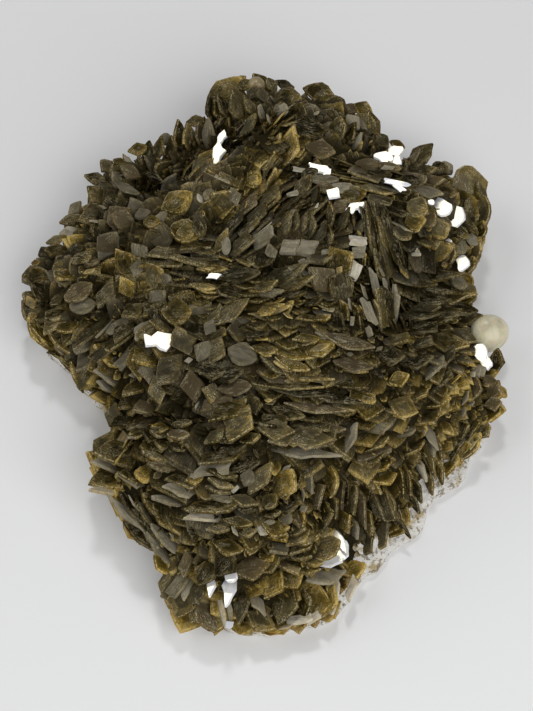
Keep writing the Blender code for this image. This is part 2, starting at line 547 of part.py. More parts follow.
def matrix_solid(grow):
    """The matrix: a low dome with a rough edge on a flat base, or with grow its cutter."""
    degrees = np.arange(0.0, 360.0, 7.5)
    ragged = 0.35 * np.sin(np.radians(11 * degrees)) + 0.3 * np.sin(np.radians(23 * degrees) + 1.0)
    reach = matrix_reach(degrees) + ragged + grow
    rings = []
    for share in (0.45, 0.8, 1.0):
        rings.append(ring_at(share * reach, matrix_surface(share, degrees) + grow, degrees))
    foot = 0.0 if grow == 0 else -6.0
    edge = matrix_surface(1.0, degrees)
    rings.append(ring_at(reach + 0.25, 0.55 * edge, degrees))
    rings.append(ring_at(reach - 0.5 if grow == 0 else reach, np.full_like(degrees, foot), degrees))
    return turned_solid(rings, MATRIX_TOP + grow, foot)


def bed_solid():
    """The crust's bed: domed above, hollowed below along the matrix, and undercut at its edge."""
    degrees = np.arange(0.0, 360.0, 9.0)
    reach = bed_reach(degrees)
    rings = []
    for share in (0.25, 0.5, 0.72, 0.9, 1.0):
        turn = np.radians(degrees)
        radius = share * reach
        rings.append(ring_at(radius, bed_height(radius * np.cos(turn), radius * np.sin(turn)), degrees))
    skirt = np.maximum(bed_edge(degrees) - BED_SKIRT, 1.0)
    rings.append(ring_at(reach - 0.4, skirt, degrees))
    rings.append(ring_at(0.80 * reach, np.minimum(skirt, matrix_surface(0.8, degrees) - 1.0), degrees))
    return turned_solid(rings, float(bed_height(np.array(0.0), np.array(0.0))), 5.0)


def egg(name, place, grow, material=None):
    """Rounded crystal: a ball stretched to its half sizes, tilted and turned, in its place."""
    middle, half, tilt, turn = place
    mesh = bmesh.new()
    bmesh.ops.create_uvsphere(mesh, u_segments=12, v_segments=8, radius=1.0)
    points = np.array([vertex.co[:] for vertex in mesh.verts])
    faces = [[vertex.index for vertex in face.verts] for face in mesh.faces]
    mesh.free()
    points = points * (np.array(half) + grow)
    cos, sin = math.cos(math.radians(tilt)), math.sin(math.radians(tilt))
    points = points @ np.array([(1, 0, 0), (0, cos, sin), (0, -sin, cos)])
    cos, sin = math.cos(math.radians(turn)), math.sin(math.radians(turn))
    points = points @ np.array([(cos, sin, 0), (-sin, cos, 0), (0, 0, 1)])
    return new_object(name, points + np.array(middle), faces, material)


def combine(target, operation, others):
    """Apply one exact Boolean of all the others to the target, and remove them."""
    group = bpy.data.collections.new("operands")
    for other in others:
        group.objects.link(other)
    modifier = target.modifiers.new("join", "BOOLEAN")
    modifier.operation = operation
    modifier.operand_type = "COLLECTION"
    modifier.collection = group
    modifier.solver = "EXACT"
    bpy.context.view_layer.update()
    evaluated = target.evaluated_get(bpy.context.evaluated_depsgraph_get())
    mesh = bpy.data.meshes.new_from_object(evaluated)
    target.modifiers.clear()
    target.data = mesh
    for other in others:
        bpy.data.objects.remove(other, do_unlink=True)
    bpy.data.collections.remove(group)


def keep_outer_skin(item):
    """Drop every shell but the largest, so that no sealed pocket or loose chip is left.

    Vertices midway along a straight edge go too, because two faces cut across one would touch there.
    """
    work = bmesh.new()
    work.from_mesh(item.data)
    left = set(work.faces)
    shells = []
    while left:
        stack = [left.pop()]
        shell = list(stack)
        while stack:
            for edge in stack.pop().edges:
                for face in edge.link_faces:
                    if face in left:
                        left.remove(face)
                        shell.append(face)
                        stack.append(face)
        shells.append(shell)
    shells.sort(key=len)
    for shell in shells[:-1]:
        bmesh.ops.delete(work, geom=shell, context="FACES")
    loose = [vertex for vertex in work.verts if not vertex.link_faces]
    bmesh.ops.delete(work, geom=loose, context="VERTS")
    midway = [vertex for vertex in work.verts if len(vertex.link_edges) == 2]
    bmesh.ops.dissolve_verts(work, verts=midway)
    bmesh.ops.triangulate(work, faces=work.faces[:])
    work.to_mesh(item.data)
    work.free()


def siderite_cluster(material):
    """The crust: bed and leading blades united, cut clear of the matrix and the pale crystals."""
    bed = new_object("siderite_cluster", *bed_solid(), material)
    corners = blade_corners(leading_blades())
    blades = [new_object(f"blade_{index}", points, BLADE_FACES) for index, points in enumerate(corners)]
    combine(bed, "UNION", blades)
    cutters = [
        new_object("matrix_cutter", *matrix_solid(GAP)),
        egg("right_cutter", PALE_RIGHT, GAP),
        egg("top_cutter", PALE_TOP, GAP),
    ]
    combine(bed, "DIFFERENCE", cutters)
    keep_outer_skin(bed)
    return bed


def main():
    for item in list(bpy.data.objects):
        bpy.data.objects.remove(item, do_unlink=True)
    siderite_cluster(finish("siderite", (0.075, 0.055, 0.022), 0.32))
    new_object("matrix", *matrix_solid(0.0), finish("pale_matrix", (0.72, 0.69, 0.64), 0.75))
    pale = finish("pale_crystal", (0.78, 0.74, 0.60), 0.3)
    egg("pale_crystal_right", PALE_RIGHT, 0.0, pale)
    egg("pale_crystal_top", PALE_TOP, 0.0, finish("pale_crystal_far", (0.66, 0.60, 0.42), 0.35))


main()
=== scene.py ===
"""Siderite specimen: the finished look of its crust, matrix and pale crystals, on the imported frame.

Tables are in millimetres and degrees, and MM turns them into metres where a mesh is made. The crust's
sheaves, outline and bed are those of the solids; here every blade of every sheaf is made, each as a stack
of thin curved plates, with small plates between them and single blades where the crust shows them.
"""

import math

import bpy
import numpy as np
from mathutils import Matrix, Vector


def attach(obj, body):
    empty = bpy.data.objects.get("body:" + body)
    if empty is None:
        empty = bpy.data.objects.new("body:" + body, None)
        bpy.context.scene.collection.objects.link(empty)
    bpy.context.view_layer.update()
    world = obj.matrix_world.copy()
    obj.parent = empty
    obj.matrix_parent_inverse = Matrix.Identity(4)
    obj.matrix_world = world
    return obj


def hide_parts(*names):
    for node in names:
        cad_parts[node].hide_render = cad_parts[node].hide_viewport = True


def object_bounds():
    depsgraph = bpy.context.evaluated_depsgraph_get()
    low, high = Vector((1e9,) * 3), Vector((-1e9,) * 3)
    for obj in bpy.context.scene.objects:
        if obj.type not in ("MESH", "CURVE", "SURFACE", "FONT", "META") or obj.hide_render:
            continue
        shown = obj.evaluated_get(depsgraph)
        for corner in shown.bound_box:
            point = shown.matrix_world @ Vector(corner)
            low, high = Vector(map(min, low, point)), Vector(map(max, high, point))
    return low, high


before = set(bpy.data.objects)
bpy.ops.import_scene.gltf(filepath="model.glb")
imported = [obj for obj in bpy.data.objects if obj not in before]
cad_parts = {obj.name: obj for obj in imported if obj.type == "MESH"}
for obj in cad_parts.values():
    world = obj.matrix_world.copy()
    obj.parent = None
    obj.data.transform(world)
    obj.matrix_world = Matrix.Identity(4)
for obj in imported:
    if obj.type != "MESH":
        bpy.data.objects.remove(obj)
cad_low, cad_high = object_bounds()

MM = 0.001
SEED = 7

# The places in SHEAVES are read along one line of sight, on the level that is LEVEL high.
# A point at another height lies SLANT times the height difference nearer or farther.
LEVEL = 22.0
VIEW_RISE = 66.0  # of the line of sight above the horizon
SLANT = math.tan(math.radians(90.0 - VIEW_RISE))
PLAN_STEPS, SIGHT_STEPS = 12, 14  # halvings of the error, when a line of sight is followed to the bed

# Reach of the blade tips from the origin: direction, distance.
REACH = (
    (0, 48.5), (9, 46), (17, 45.5), (23, 45.8), (29, 50), (36, 57.5), (43, 62), (50, 60.5),
    (57, 60), (62, 58.8), (67, 61.5), (72, 64), (80, 65.5), (90, 66.3), (98, 65.3), (103, 60.5),
    (108, 57), (114, 55.8), (121, 57.5), (129, 57.7), (136, 55), (145, 53.8), (151, 55.4),
    (160, 53.3), (167, 51.5), (171, 48.5), (175, 43), (184, 38.7), (190, 34.2), (197, 33.6),
    (204, 35.5), (210, 40), (215, 43), (225, 43), (236, 44.2), (243, 46), (249, 52.5),
    (255, 54), (262, 54.3), (275, 52.6), (284, 51.6), (290, 48.5), (296, 44.8), (305, 43.5),
    (316, 43.5), (325, 41.7), (332, 44), (340, 44.8), (347, 48), (355, 48.9),
)
# Height of the outermost blade tips: direction, height.
RIM_HEIGHT = (
    (0, 10), (12, 9), (30, 12), (55, 12.5), (80, 15), (92, 16), (112, 16), (130, 13),
    (150, 11), (170, 10), (190, 8), (200, 10), (212, 13.5), (225, 14), (240, 11),
    (250, 8), (265, 6), (280, 5), (295, 4.6), (320, 4.8), (330, 5.2), (340, 6.5), (350, 8),
)
# Width of the bare rim of matrix outside the blades: direction, width.
BARE_RIM = (
    (0, 0), (200, 0), (275, 0), (285, 0.3), (292, 0.7), (300, 2.3), (310, 2.4), (318, 1.5),
    (325, 1.3), (332, 2.2), (340, 0.9), (350, 0),
)
# How far the matrix stays inside the blade tips where the crust overhangs it: direction, distance.
OVERHANG = (
    (0, 6), (30, 8), (90, 9), (130, 7), (165, 3.5), (180, 2), (192, 1), (200, 3),
    (212, 8), (232, 7), (250, 3), (268, 1.2), (285, 0), (340, 0), (352, 4),
)
# Height of the matrix under the edge of the crust: direction, height.
MATRIX_EDGE = (
    (0, 4.5), (40, 5.5), (90, 8), (130, 6), (165, 4), (190, 3.5), (215, 6), (235, 5),
    (255, 2.6), (280, 1.9), (300, 2), (330, 2), (345, 3),
)
# Width over which the bed climbs from its edge: direction, width.
CLIMB = (
    (0, 9), (45, 8), (90, 7), (150, 7), (200, 6), (225, 6), (250, 8), (270, 10),
    (310, 12), (335, 11), (350, 10),
)
# From the blade tips in to the edge of the bed: direction, distance.
BED_INSET = ((0, 3.4), (280, 3.4), (298, 2.4), (335, 2.4), (350, 3.4))
MATRIX_TOP = 9.0
PLATEAU = 24.5
BED_DROP = 1.4  # from the blade tips down to the edge of the bed
BED_SKIRT = 3.6  # height of the bed's upright edge
EDGE_BLUR = 4.0  # distance over which the edge's stretches blend into each other
CLIMB_POWER = 1.2
LUMP_INSET = 5.0  # distance from the edge over which the rises and hollows set in

# Rises and hollows of the bed: x, y, height, half width along, half width across, turn.
LUMPS = (
    (0, 2, 5, 30, 17, 0),
    (-3, 40, 6.5, 15, 5, 58),
    (8, 28, 3, 12, 7, 45),
    (30, 32, 3.5, 13, 9, -10),
    (-22, 39, -7, 9, 4.5, 30),
    (-5, 46, -4.5, 6, 3, 60),
    (-33, 15, -4, 4, 9, 10),
    (33, 13, -4.5, 8, 5, 0),
    (-17, -14, -5, 5, 3, -15),
    (-24, -26, 4, 9, 5, -25),
    (2, -20, 2.5, 13, 3, -8),
    (20, -27, -3, 8, 5, 20),
    (-8, -48, 2.5, 8, 7, 0),
    (27, -12, 3, 9, 4.5, 25),
    (16, -42, 2, 5, 4, 0),
)

# Outlines of blades: the first two corners, in half lengths along and across, and how far the sides bulge.
# The other two corners lie opposite. A rhombus points along the lean, and a block is square or slanted.
FORMS = {
    "tip": (1, 0, 0, 1, 0.04), "leaf": (1, 0, 0, 1, 0.10),
    "round": (1, 0, 0, 1, 0.24), "edge": (0.92, 0.92, -0.92, 0.92, 0.02),
    "slant": (1, 0.92, -0.5, 0.92, 0.02), "counter": (0.5, 0.92, -1, 0.92, 0.02),
}
FORM_PLACES = {name: place for place, name in enumerate(FORMS)}

# Sheaves: name, x, y, lean, rise, blade length, width, thickness, outline, tint. Lean is the direction that
# the tips point to in plan. Rise is the angle between blade and surface. Tint goes from dark to gold.
SHEAVES = (
    ("teeth upper left", -26, 46, 190, 80, 7, 5, 1.1, "leaf", 0.34),
    ("flank upper left", -36, 38, 120, 62, 7, 6, 1.2, "leaf", 0.2),
    ("arc left", -42, 26, 150, 55, 7, 6.5, 1.4, "leaf", 0.68),
    ("rim left", -45, 14, 130, 42, 7.5, 6.5, 1.4, "round", 0.3),
    ("foot left", -41, 3, 210, 68, 7, 5.5, 1.2, "leaf", 0.46),
    ("notch left", -34, -8, 215, 55, 6, 5, 1.2, "leaf", 0.7),
    ("gully left", -22, 38, 150, 75, 6, 5, 1, "leaf", 0.15),
    ("shoulder", -16, 29, 90, 38, 6.5, 6, 1.3, "round", 0.3),
    ("shoulder left", -30, 27, 130, 50, 6.5, 6, 1.3, "leaf", 0.1),
    ("broken patch", -9, 38, 100, 40, 5, 5, 0.9, "edge", 0.5),
    ("crest left", -8, 54, 30, 80, 8, 6, 1.2, "leaf", 0.4),
    ("crest middle", 3, 56, 70, 60, 7, 6, 1.2, "leaf", 0.34),
    ("crest right", 14, 55, 60, 55, 7, 6, 1.3, "round", 0.27),
    ("gully middle", -4, 46, 150, 80, 6, 5, 0.9, "leaf", 0.1),
    ("ridge low", -5, 34, 325, 60, 6, 7, 0.7, "edge", 0.7),
    ("ridge high", 2, 48, 325, 60, 6, 7, 0.7, "edge", 0.58),
    ("upper faces", 10, 43, 75, 50, 6.5, 6, 1.3, "leaf", 0.34),
    ("diagonal stack low", -5, 26, 315, 60, 7, 7.5, 0.9, "edge", 0),
    ("diagonal stack", 4, 31, 315, 60, 7, 7.5, 0.9, "edge", 0.12),
    ("brown blades", 13, 29, 320, 55, 6.5, 6.5, 1.1, "leaf", 0.2),
    ("striated blocks", 7, 21, 85, 40, 5.5, 5.5, 1.3, "edge", 0.16),
    ("upright stack top", 22, 25, 190, 78, 7, 8.5, 1.1, "leaf", 0.25),
    ("upright stack low", 24, 10, 188, 78, 7, 8.5, 1.1, "leaf", 0.22),
    ("strata", 20, 36, 258, 38, 7.5, 8, 0.8, "edge", 0.34),
    ("blades upper right", 31, 44, 135, 72, 7, 6.5, 1.2, "leaf", 0.22),
    ("shells right", 42, 33, 30, 50, 8, 7.5, 1.4, "round", 0.6),
    ("speckled faces", 33, 29, 40, 34, 7, 7, 1.4, "round", 0.65),
    ("plates right", 28, 24, 245, 38, 7, 7, 1, "leaf", 0.2),
    ("corner right", 39, 20, 20, 50, 6.5, 6, 1.2, "round", 0.75),
    ("dark lamellae", 34, 14, 268, 45, 7, 8, 0.8, "edge", 0.15),
    ("points right", 38, 6, 350, 40, 6.5, 6, 1.1, "tip", 0.45),
    ("blocks left", -25, 15, 80, 45, 5, 5, 1.7, "edge", 0.42),
    ("blocks low", -20, 9, 100, 42, 5, 5, 1.6, "edge", 0.24),
    ("flat stack", -14, 21, 265, 48, 7, 9, 0.8, "edge", 0.22),
    ("band upper left", -10, 12, 268, 40, 6.5, 7, 0.75, "leaf", 0.34),
    ("band upper", 4, 13, 268, 40, 6.5, 7, 0.75, "leaf", 0.5),
    ("band upper right", 14, 11, 262, 42, 6.5, 6.5, 0.8, "leaf", 0.22),
    ("faces middle left", -20, 0, 235, 34, 5.5, 6, 1.3, "slant", 0.45),
    ("faces middle", -10, -2, 240, 34, 5.5, 6, 1.2, "edge", 0.1),
    ("faces low left", -24, -8, 230, 38, 5.5, 5.5, 1.2, "slant", 0.48),
    ("brown rhombs", -8, -11, 250, 34, 5.5, 6, 1.2, "slant", 0.08),
    ("golden flakes", 6, -3, 266, 38, 5, 6, 0.7, "leaf", 0.42),
    ("band low left", 4, -11, 265, 38, 6, 7, 0.75, "leaf", 0.2),
    ("band low right", 14, -8, 262, 38, 6, 7, 0.8, "leaf", 0.27),
    ("hollow", -17, -14, 200, 45, 5, 5, 1.1, "leaf", 0.12),
    ("ledge", 5, -19, 265, 36, 6.5, 8, 1.5, "slant", 0.22),
    ("shingles right", 24, -3, 292, 36, 7, 7, 1.1, "leaf", 0.38),
    ("shingles far right", 34, -2, 298, 38, 7, 7, 1.1, "leaf", 0.5),
    ("shingles low right", 28, -12, 285, 36, 7, 7, 1.3, "leaf", 0.78),
    ("edge right", 42, -6, 330, 48, 6.5, 6, 1.2, "leaf", 0.85),
    ("edge low right", 40, -15, 322, 60, 6.5, 6.5, 1.2, "leaf", 0.9),
    ("golden blades", 36, -22, 325, 70, 7, 7.5, 1.2, "leaf", 0.9),
    ("fan top", 23, -21, 285, 55, 6, 7.5, 1.1, "leaf", 0.55),
    ("fan left", 18, -35, 2, 75, 7, 8, 1.3, "leaf", 0.34),
    ("fan middle", 25, -31, 15, 75, 7, 8, 1.3, "leaf", 0.62),
    ("fan right", 31, -24, 25, 72, 7, 8, 1.3, "leaf", 0.8),
    ("rhombs low", 5, -29, 262, 36, 6, 5.5, 1.2, "leaf", 0.55),
    ("rhombs low left", -6, -31, 255, 36, 6, 6, 1.2, "leaf", 0.22),
    ("tight facets", -22, -21, 235, 38, 4.5, 4.5, 1, "slant", 0.5),
    ("lower ledge", -28, -28, 240, 34, 7, 7, 1.9, "slant", 1),
    ("lower ledge inner", -15, -27, 245, 36, 6.5, 7, 1.6, "slant", 0.26),
    ("edge-on blades", -25, -37, 217, 72, 7, 10, 1.4, "leaf", 0.48),
    ("pale ledge", -12, -36, 255, 36, 6, 7, 1.5, "slant", 0.46),
    ("olive faces", 0, -39, 255, 36, 6, 6.5, 1.3, "leaf", 0.5),
    ("low stack", 11, -44, 250, 38, 6.5, 7.5, 1.5, "slant", 0.78),
    ("grey uprights", -14, -44, 200, 62, 6.5, 6, 1.2, "leaf", 0.66),
    ("corner low left", -19, -49, 155, 68, 6, 6, 1.2, "leaf", 0.8),
    ("rosette left", -11, -52, 185, 65, 7.5, 6, 1.2, "leaf", 0.95),
    ("rosette right", 3, -53, 350, 58, 7.5, 6.5, 1.3, "leaf", 0.93),
    ("rosette edge", 12, -52, 320, 55, 7, 6, 1.4, "leaf", 0.95),
)

STAND = 1.2  # height of the sheaves' tips above the bed
BURIED = 0.45  # share of the blade's raised length that lies below its tip
FLAT = 0.62  # share of its table's rise and thickness that a sheaf's blade has
SKEW = 0.8  # how far the upper face is shifted back, in thicknesses
PITCH_ALONG = 1.15  # spacing along the lean, in thicknesses over the sine of the rise
PITCH_ACROSS = 0.80  # spacing across the lean, in widths
LONG_WAVE, SHORT_WAVE = 1.4, 0.8  # heights of the waves in the borders between sheaves
# Rows of blades down the edge: their number, their spacing along and down, how far each row's tips lie in
# from the last one's, the height that they keep and what each row adds to it, the climb of the tips over
# the horizon and what each row takes off it, and the least and greatest length.
RIM_ROWS, RIM_STEP, RIM_DROP, RIM_IN = 4, 3.7, 3.4, 0.5
LOWEST_TIP, LOWEST_STEP = 1.9, 1.5
TIP_CLIMB, CLIMB_STEP = 24.0, 16.0
RIM_SHORT, RIM_LONG = 5.5, 9.0
RIM_WITHIN = 0.93  # share of the reach at which a blade's sheaf is looked up
# Spreads of the rim's blades: along the edge in spacings, down, out, climb, lean and length.
RIM_JITTER = (0.15, 0.5, 0.45, 7.0, 9.0, 0.08)
# Spreads of the sheaves' blades, of a clump of neighbours and then of each blade. Those along the rows and
# the columns, in spacings, and that of the length are each blade's alone.
CLUMP_ROWS, CLUMP_COLUMNS = 4, 2
ROW_JITTER, COLUMN_JITTER, LENGTH_JITTER = 0.14, 0.10, 0.10
LEAN_JITTER, RISE_JITTER, LIFT_JITTER, WIDTH_JITTER = (7.0, 4.0), (4.0, 3.0), (0.40, 0.18), (0.08, 0.10)
SHEAF_SPAN = 14.0  # reach of a sheaf's rows from its middle
SHEAF_INSET = 3.0  # from the outline in to the outermost blades of the sheaves

PALE_RIGHT = ((46.0, 9.3, 8.4), (4.2, 4.0, 3.0), 35.0, 20.0)  # middle, half sizes, tilt, turn
PALE_TOP = ((-2.2, 63.6, 17.4), (1.9, 1.8, 1.7), 20.0, 0.0)

# The view that the single blades are placed in, with the eye VIEW_AWAY from its middle.
VIEW_AWAY = 380.0
VIEW_MIDDLE = np.array([0.0, 0.0, 18.0])
TO_VIEW = np.array([0.0, -math.cos(math.radians(VIEW_RISE)), math.sin(math.radians(VIEW_RISE))])
EYE = VIEW_MIDDLE + TO_VIEW * VIEW_AWAY
VIEW_RIGHT = np.array([1.0, 0.0, 0.0])
VIEW_UP = np.array([0.0, math.sin(math.radians(VIEW_RISE)), math.cos(math.radians(VIEW_RISE))])


def kept(blades, chosen):
    """The chosen ones of a group of blades."""
    return {key: values[chosen] for key, values in blades.items()}


def joined(groups):
    """Groups of blades as one, with the values that all of them have."""
    keys = set(groups[0]).intersection(*groups[1:])
    return {key: np.concatenate([group[key] for group in groups]) for key in sorted(keys)}


def around(table, degrees):
    """Value of a (direction, value) table at the given directions, straight between its points."""
    directions, values = np.array(table, dtype=float).T
    return np.interp(degrees, directions, values, period=360)


def unit(vectors):
    """Vectors over their lengths."""
    return vectors / np.linalg.norm(vectors, axis=-1, keepdims=True)


def lengths(vectors):
    """Lengths of vectors, as a column."""
    return np.linalg.norm(vectors, axis=1, keepdims=True)


def dot(first, second):
    """Products of vectors, as a column."""
    return np.sum(first * second, axis=-1, keepdims=True)


def upon_face(vectors, face):
    """Vectors with their part along the face's normal taken off."""
    return vectors - dot(vectors, face) * face


def turned(degrees):
    """Cosines and sines of angles, as columns."""
    turn = np.radians(degrees)
    return np.cos(turn)[:, None], np.sin(turn)[:, None]


def direction(x, y):
    """Direction of a place from the origin, in degrees."""
    return np.degrees(np.arctan2(y, x)) % 360


def bearing(degrees):
    """Level unit vectors that point in the given directions."""
    turn = np.radians(degrees)
    return np.stack([np.cos(turn), np.sin(turn), np.zeros_like(turn)], axis=-1)


def tip_reach(degrees):
    """Distance of the blade tips: the outline less the bare rim."""
    return around(REACH, degrees) - around(BARE_RIM, degrees)


def bed_reach(degrees):
    """Distance of the bed's edge: the blade tips less the inset."""
    return tip_reach(degrees) - around(BED_INSET, degrees)


def bed_edge(degrees):
    """Height of the bed at its edge."""
    return around(RIM_HEIGHT, degrees) - BED_DROP


def matrix_reach(degrees):
    """Distance of the matrix's edge: the outline less the overhang."""
    return around(REACH, degrees) - around(OVERHANG, degrees)


def bed_height(x, y):
    """Height of the bed: it climbs from its edge towards PLATEAU, by the distance in from the nearest edge.

    The edge's height and climb are means over the whole edge that favour the nearest stretch of it.
    """
    spokes = np.arange(0, 360, 3.0)
    edge_x, edge_y, _ = np.moveaxis(bearing(spokes) * bed_reach(spokes)[:, None], -1, 0)
    apart = np.hypot(np.asarray(x)[..., None] - edge_x, np.asarray(y)[..., None] - edge_y)
    nearest = apart.min(axis=-1)
    weight = np.exp((nearest[..., None] - apart) / EDGE_BLUR)
    weight = weight / weight.sum(axis=-1, keepdims=True)
    edge = (weight * bed_edge(spokes)).sum(axis=-1)
    climb = (weight * around(CLIMB, spokes)).sum(axis=-1)
    outward = np.hypot(x, y) / bed_reach(direction(x, y))
    inside = np.where(outward < 1.0, nearest, 0.0)
    height = edge + (PLATEAU - edge) * (1 - np.exp(-((inside / climb) ** CLIMB_POWER)))
    settled = 1 - np.exp(-((inside / LUMP_INSET) ** 2))
    for lump_x, lump_y, rise, along, across, turn in LUMPS:
        cos, sin = math.cos(math.radians(turn)), math.sin(math.radians(turn))
        right = ((x - lump_x) * cos + (y - lump_y) * sin) / along
        up = ((y - lump_y) * cos - (x - lump_x) * sin) / across
        height = height + rise * np.exp(-right**2 - up**2) * settled
    return height


def bed_normal(x, y, step=1.2):
    """Upward normals of the bed, from height differences over a short step each way."""
    slope_x = (bed_height(x + step, y) - bed_height(x - step, y)) / (2 * step)
    slope_y = (bed_height(x, y + step) - bed_height(x, y - step)) / (2 * step)
    return unit(np.stack([-slope_x, -slope_y, np.ones_like(x)], axis=-1))


def bed_points(x, y):
    """Points of the bed at the given plan places."""
    return np.stack([x, y, bed_height(x, y)], axis=-1)


def sighted(x, y):
    """Plan place on the bed of a point that is seen at x, y on the level LEVEL."""
    place_y = np.array(y, dtype=float)
    for _ in range(PLAN_STEPS):
        place_y = 0.5 * place_y + 0.5 * (y - SLANT * (bed_height(x, place_y) - LEVEL))
    return np.array(x, dtype=float), place_y


def sheaf_centres():
    """Plan places of the sheaves on the bed."""
    seen = np.array([row[1:3] for row in SHEAVES], dtype=float)
    return np.stack(sighted(seen[:, 0], seen[:, 1]), axis=-1)


def nearest_sheaf(x, y, centres):
    """Index of the nearest sheaf, with borders that waver by a millimetre or two, as sums of two sines."""
    waver_x = x + LONG_WAVE * np.sin(0.8 * y + 1.0) + SHORT_WAVE * np.sin(1.9 * y)
    waver_y = y + LONG_WAVE * np.sin(0.9 * x + 2.0) + SHORT_WAVE * np.sin(2.1 * x)
    apart = np.hypot(waver_x[:, None] - centres[:, 0], waver_y[:, None] - centres[:, 1])
    return np.argmin(apart, axis=1)


def lean_over(normal, lean, rise):
    """Blade axes: the face normal, tilted back from the surface normal by the rise, and the tip's way."""
    level = bearing(lean)
    along = unit(upon_face(level, normal))
    cos, sin = turned(rise)
    return normal * cos - along * sin, normal * sin + along * cos


def blade_set(middle, face, tip_way, length, width, thick, form):
    """Blades with their half axes, and the way in which their upper face is shifted."""
    return {
        "middle": middle, "face": face, "back": -tip_way,
        "along": tip_way * length[:, None] / 2,
        "across": np.cross(face, tip_way) * width[:, None] / 2,
        "thick": thick, "form": form,
    }


def sheaf_blades(rng, spacing=1.0):
    """All blades of all sheaves: rows along each lean, in brick order, with a shared and an own jitter."""
    centres = sheaf_centres()
    found = []
    for index, (_, _, _, lean, rise, length, width, thick, form, _) in enumerate(SHEAVES):
        rise, thick = FLAT * rise, FLAT * thick
        pitch_along = spacing * PITCH_ALONG * thick / math.sin(math.radians(rise))
        pitch_across = spacing * PITCH_ACROSS * width
        rows, columns = (int(SHEAF_SPAN / pitch) + 1 for pitch in (pitch_along, pitch_across))
        row, column = np.meshgrid(np.arange(-rows, rows + 1), np.arange(-columns, columns + 1), indexing="ij")
        shape = row.shape
        clump = rng.normal(size=(4, shape[0] // CLUMP_ROWS + 1, shape[1] // CLUMP_COLUMNS + 1))
        clump = clump.repeat(CLUMP_ROWS, axis=1).repeat(CLUMP_COLUMNS, axis=2)[:, : shape[0], : shape[1]]
        own = rng.normal(size=(7,) + shape)
        toward = bearing(np.array(float(lean)))
        aside = bearing(np.array(lean + 90.0))
        along = (row + ROW_JITTER * own[0]) * pitch_along
        across = (column + 0.5 * (row % 2) + COLUMN_JITTER * own[1]) * pitch_across
        x = centres[index, 0] + along * toward[0] + across * aside[0]
        y = centres[index, 1] + along * toward[1] + across * aside[1]
        blades = {
            "x": x, "y": y,
            "lean": lean + LEAN_JITTER[0] * clump[0] + LEAN_JITTER[1] * own[2],
            "rise": np.clip(rise + RISE_JITTER[0] * clump[1] + RISE_JITTER[1] * own[3], 10.0, 100.0),
            "lift": LIFT_JITTER[0] * clump[2] + LIFT_JITTER[1] * own[4],
            "length": length * (1 + LENGTH_JITTER * own[5]),
            "width": width * (1 + WIDTH_JITTER[0] * clump[3] + WIDTH_JITTER[1] * own[6]),
            "thick": thick * np.ones(shape),
            "form": FORM_PLACES[form] * np.ones(shape, dtype=int),
        }
        blades = {key: values.ravel() for key, values in blades.items()}
        reach = tip_reach(direction(blades["x"], blades["y"]))
        inside = np.hypot(blades["x"], blades["y"]) < reach - SHEAF_INSET
        keep = inside & (nearest_sheaf(blades["x"], blades["y"], centres) == index)
        found.append(kept(blades, keep))
    return joined(found)


def placed_sheaves(blades, stand=STAND):
    """The sheaves' blades in place: each tip stands a little above the bed."""
    normal = bed_normal(blades["x"], blades["y"])
    face, tip_way = lean_over(normal, blades["lean"], blades["rise"])
    raised = BURIED * blades["length"] * np.sin(np.radians(blades["rise"]))
    base = bed_points(blades["x"], blades["y"])
    middle = base + normal * (stand - raised + blades["lift"])[:, None]
    sizes = (blades[key] for key in ("length", "width", "thick", "form"))
    return blade_set(middle, face, tip_way, *sizes)


def rim_blades(rng):
    """Blades round the edge, in rows down its side, whose tips reach the outline."""
    fine = np.arange(0, 360, 0.5)
    radius = tip_reach(fine)
    x, y = radius * np.cos(np.radians(fine)), radius * np.sin(np.radians(fine))
    length = np.concatenate([[0.0], np.cumsum(np.hypot(np.diff(x), np.diff(y)))])
    count = int(length[-1] / RIM_STEP)
    centres = sheaf_centres()
    sizes = np.array([row[3:8] for row in SHEAVES], dtype=float)
    forms = np.array([FORM_PLACES[row[8]] for row in SHEAVES])
    upright = np.array([0.0, 0.0, 1.0])
    parts = []
    for tier in range(RIM_ROWS):
        own = rng.normal(size=(6, count))
        along, down, outward, steep, aside, longer = (size * spread for size, spread in zip(RIM_JITTER, own))
        stations = (np.arange(count) + 0.5 * (tier % 2) + along) * length[-1] / count
        degrees = np.interp(stations, length, fine)
        height = around(RIM_HEIGHT, degrees) - (RIM_DROP * tier + down)
        reach = tip_reach(degrees) + outward - RIM_IN * tier
        out = bearing(degrees)
        sheaf = nearest_sheaf(out[:, 0] * reach * RIM_WITHIN, out[:, 1] * reach * RIM_WITHIN, centres)
        lean, rise, long, wide, thick = sizes[sheaf].T
        rise, thick = FLAT * rise, FLAT * thick
        climb = np.radians(TIP_CLIMB - CLIMB_STEP * tier + steep)
        tip_way = out * np.cos(climb)[:, None] + upright * np.sin(climb)[:, None]
        upward = unit(out * 0.45 + upright)
        face, _ = lean_over(upward, lean + aside, rise)
        face = unit(upon_face(face, tip_way))
        long = np.clip(long * (1 + longer), RIM_SHORT, RIM_LONG)
        tip = out * reach[:, None] + upright * height[:, None]
        keep = height > LOWEST_TIP + LOWEST_STEP * tier
        middle = tip - tip_way * long[:, None] / 2
        blades = blade_set(middle, face, tip_way, long, wide, thick, forms[sheaf])
        parts.append(kept(blades, keep))
    return joined(parts)


def on_bed(u, w, lift):
    """Point above the bed by lift that is seen at u to the right and w up from the view's middle."""
    through = VIEW_MIDDLE + u[:, None] * VIEW_RIGHT + w[:, None] * VIEW_UP
    way = through - EYE
    height = np.full(len(u), LEVEL)
    for _ in range(SIGHT_STEPS):
        point = EYE + way * ((height - EYE[2]) / way[:, 2])[:, None]
        height = 0.5 * height + 0.5 * (bed_height(point[:, 0], point[:, 1]) + lift)
    return EYE + way * ((height - EYE[2]) / way[:, 2])[:, None]


